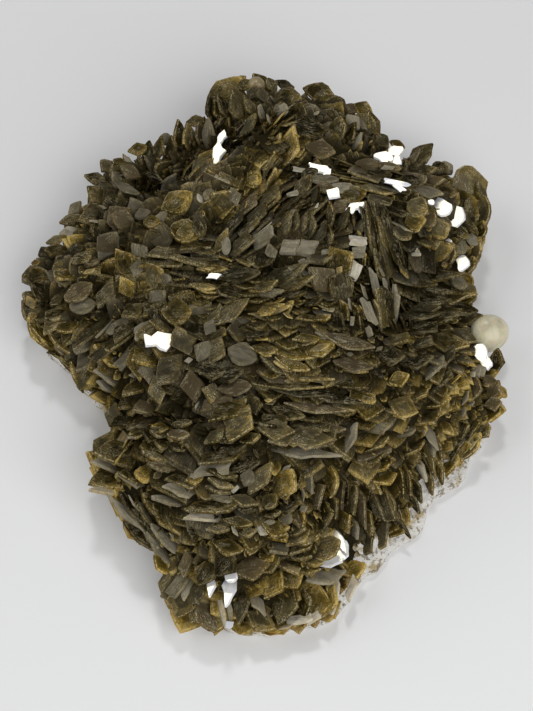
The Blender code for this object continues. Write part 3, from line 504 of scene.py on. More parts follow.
def seen_blades(u, w, long, wide, turn, side, tilt, lift, thick, form):
    """Blades from their outlines as seen: each outline is carried along the sight lines onto its plane.

    The plane's normal is tilted from the line of sight by tilt, towards side in the picture, and the upper
    face is shifted the same way, so that the edge on the other side shows.
    """
    middle = on_bed(u, w, lift)
    sight = unit(EYE - middle)
    right = unit(upon_face(VIEW_RIGHT, sight))
    up = np.cross(sight, right)
    cos, sin = turned(side)
    aslant = right * cos + up * sin
    upright, tipped = turned(tilt)
    face = sight * upright + aslant * tipped
    cos, sin = turned(turn)
    scale = (np.linalg.norm(EYE - middle, axis=1) / VIEW_AWAY)[:, None]
    along = (right * cos + up * sin) * long[:, None] / 2 * scale
    across = (up * cos - right * sin) * wide[:, None] / 2 * scale
    along, across = (way - sight * dot(way, face) / upright for way in (along, across))
    back = unit(upon_face(aslant, face))
    return {
        "middle": middle, "face": face, "back": back, "along": along, "across": across,
        "thick": thick, "form": form,
    }


def ring_at(radius, height, degrees):
    """Ring of points round the upright axis, each at its radius and height."""
    turn = np.radians(degrees)
    return np.stack([radius * np.cos(turn), radius * np.sin(turn), height], axis=-1)


def matrix_surface(share, degrees):
    """Height of the matrix's upper side at a share of its reach."""
    edge = around(MATRIX_EDGE, degrees)
    rough = 0.35 * np.sin(np.radians(7 * degrees) + 5 * share) + 0.25 * np.sin(np.radians(17 * degrees))
    return edge + (MATRIX_TOP - edge) * (1 - share**2) + rough * share


# Light

KEY_RISE = 61.0  # of the window lamp on the far side
KEY_AWAY = 900.0
TO_KEY = np.array([0.0, math.cos(math.radians(KEY_RISE)), math.sin(math.radians(KEY_RISE))])
TO_BROAD = unit(np.array([0.55, -0.75, 0.95]))
TO_FILL = unit(np.array([-0.9, 0.25, 0.9]))
# Lamps: name, direction, distance and width in metres, power in watts.
LAMPS = (
    ("window", TO_KEY, KEY_AWAY * MM, 0.12, 1.5), ("broad", TO_BROAD, 1.1, 1.25, 8.9),
    ("fill", TO_FILL, 1.2, 1.0, 4.2),
)
ROOM_LIGHT = 0.15
VIEW_HALF = 71.1  # half the height of the frame at the view's middle
SENSOR = 36.0
FLOOR_HALF = 3.0  # half the floor's side, in metres
FLASH_CLEAR = 13.0  # only the flashing blades come nearer to the direction that mirrors the window lamp

# Blades as meshes

CORNERS = 12  # points round a plate
# Rings of a plate from below to above: share of its outline, height in thicknesses, shift back, rim mark,
# which sets where the painted golden rim glow goes.
PLATE_RINGS = (
    (0.96, -0.50, 0.0, 0.0), (1.00, -0.25, 0.0, 0.1), (0.995, 0.28, 1.0, 1.0), (0.955, 0.50, 1.0, 0.7),
)
POLE_MARKS = [0.6, 0.0]  # rim marks of a plate's lower and upper pole
FLAKE_CORNERS = 6
FLAKE_RINGS = ((1.00, -0.4, 0.0, 0.4), (0.96, 0.5, 1.0, 0.9))
FLAKES, FLAKE_INSET, FLAKE_LEAN, FLAKE_RISE, FLAKE_TINT = 5200, 2.5, 22, 14, 0.15
FLAKE_LIFT = (-0.2, 0.9)  # least and most over the bed
FLAKE_SIZES = ((0.7, 2.4), (0.6, 2.0), (0.12, 0.3))  # least and most length, width and thickness
FIELD = ((-50, 50), (-55, 66))  # plan in which they are strewn
WEAR, STEADY_WEAR, TORN_WEAR = 0.03, 0.06, 0.09  # of a plate's corners, and what flashes and blades with painted sheen and glints add
CURL = 0.03  # mean and spread of a plate's curl, in its half lengths
SWELL = 0.01  # of the upper face, in half lengths and half widths
SHARP_ANGLE = 24.0
BOX_GAP = 0.02  # kept free inside the box of the solids
TOP_GAP = 0.1

# Stacks: a blade thicker than SPLIT_FROM is two plates. Each is shifted back and aside, leant, twisted,
# resized and retinted by these shares of a normal spread, and the upper one steps back by STEP.
SPLIT_FROM, PLATE_THICK = 0.55, 1.10
STEP, SHIFT_BACK, SHIFT_ASIDE, LEAN, TWIST, RESIZE, RETINT = 0.25, 0.30, 0.32, 0.05, 0.06, 0.06, 0.07

THIN = 0.7  # of the solids' thickness
SMALL = 0.74  # size and spacing of the small blades between the sheaves' blades
SMALL_DROP = 0.8  # of their tips below the sheaves' tips
LEDGE_BARE = 1.2
LEDGE_MOST = 3.0
BED_SUNK = 0.7  # of the ground's mesh under the bed that the sheaves stand on
SUNK, RIM_SUNK = 0.9, 1.6  # how far blades behind a single blade are lowered
SUNK_REACH = 0.95  # share of the single blade that they lie within
OPEN_FROM, OPEN_TO = -0.1, 1.3  # heights over the bed over which the painted shade in the gaps fades out

RIM_TINT = 0.10  # added to the tint round the edge
TINT_SPREAD = 0.17
# Borders of the zones that the blades are joined in.
FAR_FROM, NEAR_FROM, RIGHT_FROM, MIDDLE_Y, MIDDLE_HALF = 20, -18, 14, 4, (16, 17)
# Painted grey sheen, brown films and painted pale glints of the sheaves' blades: mean, spread, most.
FILMS_AND_PAINTED_SHEEN = {"grey": (-0.05, 0.20, 0.8), "brown": (-0.15, 0.35, 1.0), "pale": (-0.30, 0.14, 0.4)}
GLOSSY_SHARE, GLOSSY, DULL, MATT_SPREAD = 0.35, 0.24, 0.45, 0.05  # roughness of glossy and dull blades
SHOWN = ("rosette left", "rosette right", "rosette edge")  # sheaves that show their faces
FACING = 0.75  # share of the way that their faces turn to the camera
PETAL = 1.45  # size of their blades, to the solids' blades
PETAL_DROP = 0.8

# Single blades
SLIP = 3.0  # square millimetres under which a single blade is a mere slip
# SLIP_PALE is the share of the painted pale glint that a slip keeps
SLIP_THICK, SLIP_PALE = 0.14, 0.6
GROWTH, FLASH_GROWTH = 1.25, 1.3  # made size to the size seen, as their edges sink between the others
LEANS = 0.45  # share of the tilt by which an even blade would look as slender
EVEN, SLENDER = 1.05, (0.35, 0.95)  # length over width of an even blade; least and most width over length
SLANT_FROM = -0.5  # draw above which a blade seen edge on has a slanted outline
SINGLE_LIFT, LIFT_SHARE, FLASH_LIFT, LIFT_STEP = 0.75, 0.35, 0.35, 0.04  # LIFT_STEP is from row to row
SINGLE_THICK, THICK_SHARE = 0.22, 0.16  # a blade's own, and its share of its group's thickness
SIDE_JITTER, TILT_JITTER, HEIGHT_JITTER, TINT_JITTER = 9.0, 5.0, 0.12, 0.07
LEAST_TILT, MOST_TILT = 5.0, 40.0
SINGLE_OUT = 0.6  # how far their middles may lie outside the blade tips
SINGLE_TINT, MEAN_TINT = 0.4, 0.40  # share of the sheaf's tint that they take, over the mean
# Looks: tint, grey (a painted sheen), brown (a film), pale (a painted glint), roughness. Silver, cream and
# white are mostly painted sheen and glints; a flash is also painted white.
LOOKS = {
    "dark": (0.16, 0, 0, 0, 0.28), "olive": (0.42, 0, 0, 0, 0.30),
    "light": (0.60, 0.15, 0, 0, 0.30), "gold": (0.74, 0, 0, 0, 0.30),
    "amber": (1.3, 0, 0, 0.12, 0.28), "brown": (0.42, 0.1, 0.7, 0, 0.32),
    "grey": (0.36, 0.55, 0, 0, 0.26), "silver": (0.50, 0.85, 0, 0.10, 0.22),
    "cream": (0.65, 0.3, 0, 0.55, 0.30), "white": (0.70, 0.3, 0, 0.95, 0.26),
    "flash": (0.60, 0.3, 0, 0.6, 0.12),
}
# Single blades as seen, in groups: the side that their faces tip to, lift, thickness and outline, then by
# look each blade's place to the right and up, its size along and across, and its turn.
SEEN = (
    ("crest top left", 1, 1.6, 0.9, "leaf", dict(dark=[(-10.8, 48.8, 5.6, 2.5, -75)],
        olive=[(-8.3, 49.3, 5.6, 1.8, -58), (-3.5, 46, 5, 1.9, 55)], light=[(-5, 50.6, 7.2, 2, -55),
        (-3.3, 49.5, 4.2, 1.6, -58)], gold=[(-8.3, 52.6, 7.6, 4.6, 38), (-1.4, 54.6, 3.6, 2.4, -50)],
        silver=[(-1.1, 48.3, 3.4, 0.9, -72)])),
    ("teeth upper left", 1, 1.4, 1, "leaf", dict(dark=[(-23.6, 40.8, 3.6, 2.2, 80)],
        olive=[(-17.3, 43.2, 7, 2.3, -82), (-21.5, 41.2, 4.6, 1.9, 75), (-19, 41, 5.4, 1.8, 86)],
        light=[(-15.2, 42.7, 6.6, 2.8, -76)], gold=[(-13.9, 46.7, 3.4, 1.9, 8), (-17, 46.3, 2.4, 1, -5)],
        brown=[(-13.3, 43.8, 5, 1.6, -80)], grey=[(-20, 43.3, 2.3, 2.1, 80), (-11.5, 44.2, 5.6, 2, 88)])),
    ("gully blades", -1, 1.4, 0.9, "leaf", dict(dark=[(-6.5, 41.9, 3.6, 2, 48), (-2.2, 43.5, 7, 2, 68),
        (-5, 45.2, 4, 1.6, 58), (-22.8, 35.6, 4, 2, -20), (-9.5, 45.6, 3.6, 1.6, 75)],
        olive=[(-15.7, 36.6, 5.6, 1.5, 57)], light=[(-4.3, 39.9, 4.5, 1.5, 75), (-14.9, 35.3, 5, 1.4, 65)],
        brown=[(-13.3, 34.5, 5, 1.7, 68), (-11, 34.6, 4, 2.6, -62)], grey=[(-19.7, 34.3, 4.4, 1.9, 55)],
        silver=[(-7.2, 39.3, 3, 1.1, 55)])),
    ("golden oval", 1, 2.4, 0.9, "round", dict(gold=[(-2.3, 35.1, 3.2, 2.2, 70)])),
    ("upper faces", 1, 1.8, 1.1, "leaf", dict(dark=[(3.6, 54, 3.2, 1.6, -15)],
        olive=[(10.6, 52.4, 5.8, 3.3, -15), (22.9, 42.9, 3.2, 2.4, -50), (16.4, 44, 5.2, 2.3, 60)],
        light=[(4.3, 51.6, 4.8, 3.3, -10)], gold=[(19.3, 49.2, 3.4, 2.5, -25), (21.3, 46.2, 5, 2, -68),
        (18.6, 41.6, 2.8, 0.9, 60)], brown=[(16.8, 49.3, 2.4, 1.7, -30)], grey=[(19, 45.6, 3.4, 1.4, -65)],
        silver=[(3.3, 48.9, 3, 1.8, 75), (17.2, 46.5, 3.2, 2.1, -50), (18.2, 42.6, 3.2, 1, 62)])),
    ("flaky ridge", -1, 2, 0.6, "edge", dict(light=[(0.4, 38.3, 4.6, 0.8, 58)], gold=[(0.8, 34.8, 5, 1, 62),
        (1.2, 33.2, 4.2, 0.9, 45), (1.9, 38.2, 3.2, 0.7, 50)], cream=[(5.2, 32.4, 2.6, 0.9, 20)])),
    ("faces under flashes", 1, 2.2, 1, "round", dict(dark=[(8.6, 36.3, 3.2, 1.5, 22),
        (22.6, 36.2, 4, 1.4, -8)], olive=[(7.4, 33.8, 4.4, 2.2, 50)], light=[(24.5, 37.5, 4.3, 1.5, -8)],
        brown=[(11.7, 33.4, 3, 1.8, -10), (17, 32, 3, 2, -10), (20.4, 38, 4.2, 2, -5)],
        grey=[(11.2, 35.1, 5.2, 1.7, 0)], silver=[(15.3, 33.4, 4.3, 1.6, -3)])),
    ("strata", 1, 2, 0.8, "edge", dict(dark=[(19.2, 35.6, 4, 0.9, -10)])),
    ("blades upper right", 1, 1.6, 1.2, "leaf", dict(dark=[(30.6, 36.5, 5.6, 2.5, 12),
        (27.3, 37.9, 2.8, 1.4, 60), (29, 34.9, 3.4, 1.6, -15)], olive=[(30.8, 39.7, 5.8, 3.2, 45),
        (34.3, 37.6, 2.6, 1.8, 20), (35.9, 34.8, 2.6, 1.6, -20)], gold=[(26.1, 42, 2.8, 1.4, -25),
        (32.4, 40.2, 3, 1.2, 75)], brown=[(29.4, 39.3, 4, 0.9, 50), (33.2, 34.6, 4.2, 1.9, 10)],
        grey=[(36, 37.4, 2.7, 1.8, -60), (32.4, 32.8, 5, 1.4, -15)])),
    ("big shell right", 1, 1, 1.4, "round", dict(gold=[(40.4, 33.6, 7.8, 5.8, -75)])),
    ("teeth far left", 1, 1.4, 1.1, "leaf", dict(light=[(-32, 37.7, 3.2, 2.2, -45)],
        gold=[(-25.6, 41.1, 3.6, 2, 10), (-29.4, 38.5, 2.5, 1.2, -20)], grey=[(-29.8, 34.5, 3.6, 1.8, -60)],
        silver=[(-26.6, 33, 3, 0.6, -35)], cream=[(-27.8, 39.2, 2.1, 1, -35)])),
    ("golden faces left", 1, 1.8, 1.3, "edge", dict(light=[(-34.5, 28, 5, 3.4, -15)],
        white=[(-33.8, 26.7, 4, 0.4, -5)])),
    ("faces left", 1, 1.6, 1.3, "leaf", dict(dark=[(-44.4, 20.5, 2.4, 1.8, 30), (-38, 21, 3, 2.2, 20)],
        olive=[(-42, 20.8, 4.2, 2.2, 0), (-34, 24.1, 2.8, 1.8, -60), (-45, 12.3, 5, 3, -40),
        (-41.6, 11, 3.6, 1.6, 35)], light=[(-39, 27, 4, 1.9, 15), (-42, 23, 3.4, 1.3, 22),
        (-46.3, 15.7, 5, 3.8, 20), (-40.2, 15.2, 4, 2.6, 0)], gold=[(-42.9, 22.7, 1.8, 0.8, 15),
        (-46.2, 18.5, 2, 1.2, 10), (-47.7, 11.6, 2.4, 2, -30)], brown=[(-35.2, 18.7, 3.2, 1.4, 0),
        (-29.3, 27.3, 4.8, 4.4, 40)], grey=[(-38.2, 29.2, 3.2, 1.8, 50), (-42.3, 15.7, 3.2, 2, -20),
        (-31.4, 21.9, 5.6, 4.4, 55)], cream=[(-39.4, 24.5, 3.3, 1.8, 10)])),
    ("gold bars left", 1, 2, 0.9, "edge", dict(gold=[(-35.4, 16.9, 3.8, 1.1, -3),
        (-36.5, 15.8, 1.8, 0.7, 0)])),
    ("upright blocks", 1, 2, 1.6, "edge", dict(olive=[(-27.8, 13.7, 4.1, 3.5, 90),
        (-25, 17.5, 2.8, 2.3, 90)], light=[(-22.2, 15.8, 5, 2.8, 90)], gold=[(-28.1, 18.5, 5, 3.2, 90),
        (-20.4, 16.6, 2, 1.2, 0)], grey=[(-25.2, 21, 2.6, 2.4, 90), (-25.8, 17, 2.9, 2, 40),
        (-19.8, 15, 2.7, 1.3, 90), (-21.6, 11.5, 2.7, 2.5, 90)])),
    ("shoulder faces", 1, 2.2, 1.3, "round", dict(olive=[(-13.6, 25.2, 3, 2.4, -60)],
        gold=[(-17.8, 30.2, 6.2, 4.1, 35), (-23, 26.5, 2.8, 2, 0), (-12.8, 28.3, 1.5, 1.2, 80),
        (-16.3, 24.6, 5.4, 4, -15)], grey=[(-21, 27.5, 2.5, 1.4, 40), (-11.5, 32, 2.4, 2, -50)],
        white=[(-13.3, 31.3, 2.2, 1.1, -60)])),
    ("diagonal stack", 1, 2, 0.8, "edge", dict(dark=[(-0.4, 30.6, 4.2, 1.3, 42), (-6.5, 26.5, 6, 1.4, 45)],
        olive=[(-1.8, 28.1, 5.2, 1.8, 42), (-5.2, 21.9, 5.2, 2, 40), (-3.4, 25.6, 4.6, 1.2, 42)],
        brown=[(-3.6, 30.2, 4.8, 1.8, 38)], grey=[(-0.9, 23.2, 3.8, 2.4, 30)],
        white=[(-0.8, 24.9, 4.6, 0.4, 38)])),
    ("blades over the stack", 1, 2.2, 0.9, "leaf", dict(gold=[(-8.9, 22.6, 5, 1.8, 62)],
        silver=[(-7.9, 21.6, 3.3, 1.3, 82)])),
    ("flat stack", 1, 2, 0.9, "edge", dict(dark=[(-12.4, 19.6, 5, 0.9, -5), (-5.8, 12.6, 7.2, 1.9, -14)],
        olive=[(-12.4, 20.6, 4.8, 1.2, -6), (-0.6, 13.6, 4.6, 1.5, 5)], light=[(-20.2, 20.4, 6.2, 1.8, -6),
        (-16.5, 19.1, 5.2, 0.9, -14), (-13.4, 18.3, 4.6, 0.8, -10)], gold=[(-20.6, 21.3, 3.2, 0.4, -4)])),
    ("flash in the stack", 1, 4.6, 0.6, "edge", dict(flash=[(-10.5, 15.8, 2.3, 0.9, -8)])),
    ("plates upper right", 1, 2.6, 0.9, "edge", dict(silver=[(14.8, 33.4, 4.2, 1.3, 0)])),
    ("striated blocks", 1, 2.4, 1.8, "edge", dict(light=[(10.3, 19, 4.2, 1.4, -8)],
        silver=[(4.6, 21.4, 3.4, 2.3, 0), (8, 21.2, 3.6, 2.5, -6), (7.4, 18.8, 2.4, 1, -8),
        (12.1, 20.7, 2.3, 1, 5)])),
    ("faces upper right", 1, 2.2, 1.6, "edge", dict(olive=[(16.5, 14.2, 3, 1.8, 80),
        (1.2, 31.6, 4.6, 2.2, 42)], gold=[(17.3, 31.7, 4.6, 2.6, -8), (19.6, 19.2, 2.8, 0.7, 85)],
        brown=[(14.8, 29.7, 2.8, 2, 0)], grey=[(1.1, 20.6, 2.4, 1.6, 70)],
        cream=[(5.6, 32.3, 2.4, 0.8, 8)])),
    ("leaning blades", 1, 2, 1, "leaf", dict(dark=[(10.8, 24.4, 5, 1.7, 62), (9.4, 31.6, 4.4, 1.6, 62)],
        olive=[(3.6, 25.6, 6, 1.9, 64), (5.7, 26.4, 5, 1.5, 76), (8.9, 26, 4.8, 1.8, 84),
        (12.7, 24, 3.8, 1.4, 92), (12.9, 28.2, 4.6, 1.3, 92), (15.4, 26.8, 5.2, 1.5, 64),
        (18.6, 25.4, 4.2, 1.4, 58)], brown=[(7.2, 26.1, 4.8, 1.4, 70)], silver=[(5.2, 28.5, 2.4, 1.1, 34),
        (0.6, 24.4, 2.6, 1.4, 72)], white=[(9.9, 29.3, 2.7, 0.6, 68)])),
    ("strata upper right", 1, 2, 0.9, "edge", dict(dark=[(26, 28.6, 4.6, 1, -20)],
        olive=[(35.9, 32.6, 4, 1.4, -24), (31.6, 22.6, 5, 1.2, -20)], light=[(22, 33, 7, 0.8, -14),
        (22.6, 31, 4.4, 1.3, -10)], grey=[(31.8, 32.4, 4.2, 0.9, -22)],
        silver=[(26.7, 25.8, 5.2, 0.4, -26)])),
    ("speckled faces right", 1, 2.4, 1.6, "round", dict(olive=[(32.5, 29, 4.2, 1.6, -62)],
        gold=[(32.5, 25.3, 1.2, 1, 0)], grey=[(35.2, 26.9, 3.8, 1.4, -40)])),
    ("shells far right", 1, 2.4, 1.3, "round", dict(olive=[(42.8, 32.6, 3.8, 1.4, -70),
        (43, 24.9, 3.4, 2, 72), (40.5, 27.8, 6, 1.6, -82), (38.8, 24.5, 2.8, 1.8, -45),
        (41.1, 18, 3.2, 1.4, 68)], light=[(43.6, 28.8, 5.6, 2.2, 88), (42.4, 21.4, 4.2, 1.3, 82),
        (37.1, 20.3, 3.8, 1.6, 82)], gold=[(40.7, 10.1, 1.5, 1, 45)], grey=[(38.4, 21.7, 3, 2.4, -50),
        (38.2, 14.6, 3.6, 1.8, -35)], silver=[(40.9, 23.1, 2.6, 1.5, -40)])),
    ("sugary field", 1, 2.2, 0.8, "leaf", dict(dark=[(5.4, 12.2, 5, 1.1, 8)],
        olive=[(8.2, 14.8, 3.6, 1.2, -40), (9.6, 10.8, 3.8, 1.2, 28)], gold=[(2.6, 11, 2.6, 0.5, 20)],
        grey=[(6.6, 16.6, 4, 1.3, -20), (1, 12.6, 4.4, 1.3, 12)])),
    ("left point", 1, 1.6, 1.4, "round", dict(olive=[(-36.2, -4.4, 5, 2.8, 72)],
        light=[(-46.5, 9.4, 4.4, 2.4, 15), (-47.6, 7.9, 3.2, 1.8, -50)], gold=[(-45.4, 4.8, 7.2, 3.4, -58),
        (-42, 3, 6, 1.3, -50), (-38.2, -4.2, 5.4, 1, -68), (-35.2, -5.8, 2.8, 1.1, 50)],
        cream=[(-41.3, 0.9, 2.6, 0.7, -45)])),
    ("faces middle left", 1, 2, 1.6, "edge", dict(dark=[(-28.4, 5.2, 5.4, 2, 35)],
        olive=[(-38.6, 5, 6, 3, 35), (-30.5, -11.8, 3.8, 2, 50), (-27.8, -9.8, 3.6, 1.8, 0)],
        light=[(-41.6, 7.6, 6.4, 3.2, 25)], gold=[(-36.7, 5.4, 5.2, 0.8, 42), (-31.5, -0.2, 6.2, 2.4, -52),
        (-26, -6.6, 5.6, 1.8, 14)], brown=[(-24.2, -10.6, 4.6, 2.2, -10)], grey=[(-36.2, 2, 4.6, 1.8, 22),
        (-35.6, -1, 4.6, 2.4, 20), (-27.2, 0.2, 6.2, 1.4, 48)], silver=[(-32.4, 5.2, 5, 0.4, 46),
        (-39.2, 0.2, 2, 0.9, -45), (-31.8, -4, 4.4, 1.7, -38), (-32.2, -6.2, 3.4, 1.1, -45)],
        white=[(-26.6, -4, 1.7, 1, -30)])),
    ("blocks middle left", 1, 2.6, 1.8, "edge", dict(dark=[(-13.6, 4.6, 3.4, 2, -30)],
        olive=[(-2.4, -10.2, 2.4, 2.4, 60)], light=[(-21.2, 5.7, 4.4, 1.3, -36), (-11, -7.6, 3.2, 2.2, -60)],
        gold=[(-24.2, -0.6, 4.6, 2.6, -14)], brown=[(-8.6, -9.6, 3.6, 1.6, 15), (-11.2, -10, 3.4, 1.8, 10)],
        grey=[(-11.2, 5.4, 2.6, 2, 30), (-23.4, -3.2, 3.4, 2.8, 60)], silver=[(-24.5, 5.2, 4.4, 1.6, 36)],
        cream=[(-15.6, -1, 1.4, 1.2, -30)])),
    ("glints middle left", 1, 2.6, 0.4, "edge", dict(white=[(-13.8, -10.1, 1.8, 0.9, 45)])),
    ("golden centre", 1, 2.8, 1, "edge", dict(olive=[(-1.6, 6.2, 4, 1.2, -20), (-1.8, 4.3, 4, 1, 0),
        (-10.4, 3.8, 4.6, 1.2, 20)], light=[(-5.9, 5.2, 3.6, 2.4, -50), (-10.5, 8, 3.2, 1.1, 34),
        (-9.4, 9.6, 1.9, 0.8, 60)], gold=[(0, 9.2, 3, 1.1, -10), (-1, 3.4, 3, 0.4, 0)],
        grey=[(-4.6, 7.4, 6, 0.7, -5)])),
    ("centre band", 1, 2.2, 0.9, "edge", dict(dark=[(8.2, -12.6, 5.4, 1.2, -4)],
        olive=[(15, -11.4, 4.8, 1.2, -12), (1.6, -13.2, 4.4, 1.8, -6)], light=[(15.6, -10.3, 4.4, 1.1, -10),
        (0.8, -9.4, 2, 1, -8)], gold=[(8.4, 7.7, 4.6, 0.9, -10), (11.2, 7.4, 3, 1, -5),
        (8.2, 3.2, 4.8, 1.3, -8), (19.2, -8.4, 4.6, 1.6, -10)], grey=[(11.2, 3.6, 2, 0.7, -10),
        (22.6, 1.3, 1.6, 0.7, 12), (10.2, -5.1, 3.1, 0.7, -6)], cream=[(12.4, 9.2, 2.4, 0.8, -12)])),
    ("foot of the stack", 1, 2.6, 0.9, "edge", dict(dark=[(14.6, 7.4, 3.6, 1.4, 100)],
        olive=[(18.2, 8.2, 4.4, 0.9, 100)], light=[(22.4, 8.2, 5.4, 0.8, 97)],
        gold=[(19.2, 8.6, 3.4, 0.6, 103), (15.8, 9.2, 3.6, 1.2, 95)], silver=[(20.6, 4.8, 2.2, 1.2, 108)])),
    ("right slope", 1, 2.2, 1.3, "edge", dict(dark=[(31.2, 5.2, 5.4, 1.6, 8), (30.4, 2, 5.4, 1.5, 20),
        (36, -0.8, 5.4, 1.3, 45), (34.8, -5.4, 5.4, 1.3, 42)], olive=[(32.2, -12.6, 5.2, 2, 10),
        (26.4, 3, 4.4, 1.4, 15)], light=[(26, -12, 4.8, 0.5, -24), (24.8, -11.2, 2.6, 0.6, -22)],
        gold=[(36.4, -7.3, 2.6, 0.8, 48), (37.6, -5, 3.6, 0.5, 42), (31, -7.9, 3, 1, 20)],
        brown=[(36.4, 8.2, 4.8, 1.2, 4)], grey=[(33.8, -2.6, 5, 1.2, 40)])),
    ("right flash", 1, 2.6, 0.8, "round", dict(flash=[(43.1, 0.6, 4.8, 2.6, 98),
        (44.2, -1.5, 2.6, 1.8, 95)])),
    ("right edge blades", 1, 2, 1.2, "leaf", dict(olive=[(43.9, 3.9, 4.2, 3.2, -20)],
        gold=[(48.3, -3, 1.4, 0.9, -60), (47, -7.3, 2.6, 1.2, -60), (47, -11, 1.6, 0.9, -70)],
        brown=[(44.4, -5.2, 3.4, 1.8, -20)], silver=[(42, -3.4, 2, 1.8, 30), (40.9, -9.6, 1.6, 1.2, 30)])),
    ("grey parallelograms", 1, 3, 1.2, "slant", dict(olive=[(-9.1, -20.5, 8.2, 1.9, 5),
        (-10.1, -30, 10.2, 3, -3), (-16.6, -25.4, 6.4, 1.6, -20)], gold=[(-12.6, -30.9, 6.6, 0.8, -4),
        (-14.6, -25, 2.8, 1.4, -18)], silver=[(-10.6, -22.6, 7.8, 2.4, 8), (-16.9, -26.8, 6.4, 1.9, -22),
        (-19.3, -29.2, 6, 1, -15)], cream=[(-11.8, -32.3, 7.8, 1.5, -5)])),
    ("slips lower left", 1, 2.4, 0.5, "edge", dict(white=[(-6.2, -26.8, 2, 0.7, 42)])),
    ("faces lower middle", 1, 2.4, 1.5, "leaf", dict(dark=[(-7.2, -16.6, 4.4, 1.7, 15),
        (-6.8, -18.8, 4.6, 1.8, 10), (-4.4, -22.4, 5.4, 1.8, 10), (-14.4, -35.4, 2, 3.4, 0),
        (-4, -30.8, 3.4, 1.8, -10)], olive=[(-21.4, -15.6, 4.2, 1.6, -14), (-17, -13.8, 3.6, 1.2, 8),
        (-10.2, -16.4, 4.4, 1.8, 35), (-18.4, -18.4, 3.6, 1, -22), (-8.8, -23.8, 5.4, 1.4, -10)],
        light=[(-22.4, -20.4, 4.6, 1.2, -20), (-1, -24.6, 6.6, 2.8, 52), (-9.2, -25.8, 5, 1.2, -18),
        (-9.8, -27.1, 4.6, 1.1, -14), (-4.6, -29.2, 5, 1.8, -14), (-9.6, -35, 4, 1.2, 0),
        (-3.8, -35.6, 3, 1.6, 10)], gold=[(-3.2, -16.8, 3.8, 1.8, 20), (-24.4, -24, 3.8, 3, -10),
        (-5.6, -33.6, 5, 1.8, -8)], brown=[(-17.6, -16, 4, 1.8, 0), (-21, -22.4, 5, 1.6, -12)],
        grey=[(-8.6, -28.8, 5, 1, -8), (-3.6, -24.6, 3, 2.4, 70)], cream=[(-6.4, -35.2, 2.4, 0.8, -55)])),
    ("ledge", 1, 3, 1.1, "edge", dict(dark=[(8.6, -14.2, 7, 0.9, -8)], gold=[(5.2, -17.3, 2.6, 1.4, -20)],
        brown=[(12.6, -14.6, 5, 1.2, -16)])),
    ("golden rhombs", 1, 2.8, 1.6, "round", dict(olive=[(0.8, -29.4, 3.4, 2.4, 40)],
        gold=[(3.7, -25.8, 5.4, 4.2, 60), (12.6, -24.8, 6, 3.4, 98), (3.8, -28.2, 2, 1.4, 20)],
        silver=[(3.9, -22.8, 2.6, 1, 42)])),
    ("blades below the ledge", 1, 2.6, 0.6, "leaf", dict(silver=[(7.4, -27.9, 2.6, 0.7, 95),
        (7.3, -30.8, 1.8, 1.4, 30), (0.7, -33.4, 2.2, 1, 0)])),
    ("lower right fan", 1, 2.4, 1.1, "edge", dict(dark=[(11.8, -32.2, 4.4, 2.2, 60),
        (6.2, -24.6, 3.6, 1.4, 70)], olive=[(21.6, -18.2, 6, 1.2, 18), (20.4, -21.4, 6, 1, 14),
        (16.2, -27, 5.4, 0.9, 86), (13.6, -30.2, 4.6, 1.2, 88)], light=[(21.8, -29.6, 6.6, 1.4, 112),
        (24, -29.4, 6.6, 1.6, 108), (17.6, -28.4, 6, 1, 82), (9.2, -22.8, 4.4, 1.4, 34)],
        gold=[(22.6, -22.6, 4.2, 1.2, 8), (23.6, -24.6, 4.4, 2.2, -5), (21.6, -25.8, 4, 1.2, 115),
        (15.8, -33.2, 4, 1.8, 85), (20.6, -33.4, 6, 1.2, 96)], brown=[(21.4, -19.8, 6.4, 1.2, 20),
        (15, -27.6, 5.4, 1, 84), (19.2, -30.4, 7, 1.2, 92), (10.4, -28.4, 4.6, 1.4, 75)],
        grey=[(22.2, -14.6, 4.6, 1.8, -10), (8.6, -25, 4.6, 1.2, 92)], silver=[(17.8, -34.6, 3.2, 1, 88)])),
    ("stems low middle", 1, 2.2, 1.1, "leaf", dict(dark=[(4.4, -30.6, 4.6, 1.6, 25)],
        olive=[(1, -31.8, 3.4, 1.6, 10)], light=[(11.6, -35.6, 3.4, 1.6, 10), (5.8, -35.4, 4, 1.2, 18)],
        gold=[(2.2, -34.8, 4.4, 2, 5), (7.2, -33, 4, 1.2, 85), (8.8, -36.2, 2.6, 1.6, -20)],
        grey=[(4.2, -32.8, 2.4, 1.8, 60)], cream=[(-0.8, -35.2, 2.2, 1.4, -30)])),
    ("thick plates left", 1, 3, 1.5, "slant", dict(dark=[(-28.9, -19.8, 9.4, 3.7, -20),
        (-28.4, -13.2, 4.6, 1.6, 0), (-26.6, -24, 4.6, 2.4, -30)], olive=[(-32.4, -17.6, 5.4, 2.2, 28),
        (-31.8, -24.9, 6.2, 3.2, -10)], gold=[(-30.6, -21, 6.6, 0.8, -22), (-31.4, -26.2, 6, 0.7, -10)],
        silver=[(-31.5, -22.2, 6.2, 1.5, -25), (-26.8, -24.8, 5.6, 1.9, -33)],
        cream=[(-32.4, -27.3, 5.1, 0.8, -12)])),
    ("edge on blades", 1, 2.6, 0.9, "leaf", dict(dark=[(-26.2, -31, 9, 2.2, -48),
        (-25.2, -36.5, 7.8, 1.9, -42), (-22.8, -34.6, 7, 2, -56)], olive=[(-20.3, -32.6, 7.1, 2.6, -48),
        (-23.6, -29.4, 5.6, 1.6, -60)], light=[(-24.3, -32.1, 5.8, 1, -60), (-18.6, -34.2, 5, 1.2, -50)],
        gold=[(-21.2, -42, 4.1, 1.9, -55), (-25.6, -38, 5, 0.7, -42)], grey=[(-21.4, -39.2, 7, 1.6, -52),
        (-23.4, -36.6, 5, 1, -50)], silver=[(-28.2, -31.9, 9.6, 1.4, -46), (-19.7, -37.2, 8.6, 2.1, -43)],
        cream=[(-26.6, -29.6, 4.2, 0.5, -56), (-18.2, -36.8, 3.6, 0.8, -44)])),
    ("lower right stems", 1, 2, 1, "leaf", dict(dark=[(29.4, -29, 5, 1.2, 118), (30, -26.4, 5.4, 1.6, 112),
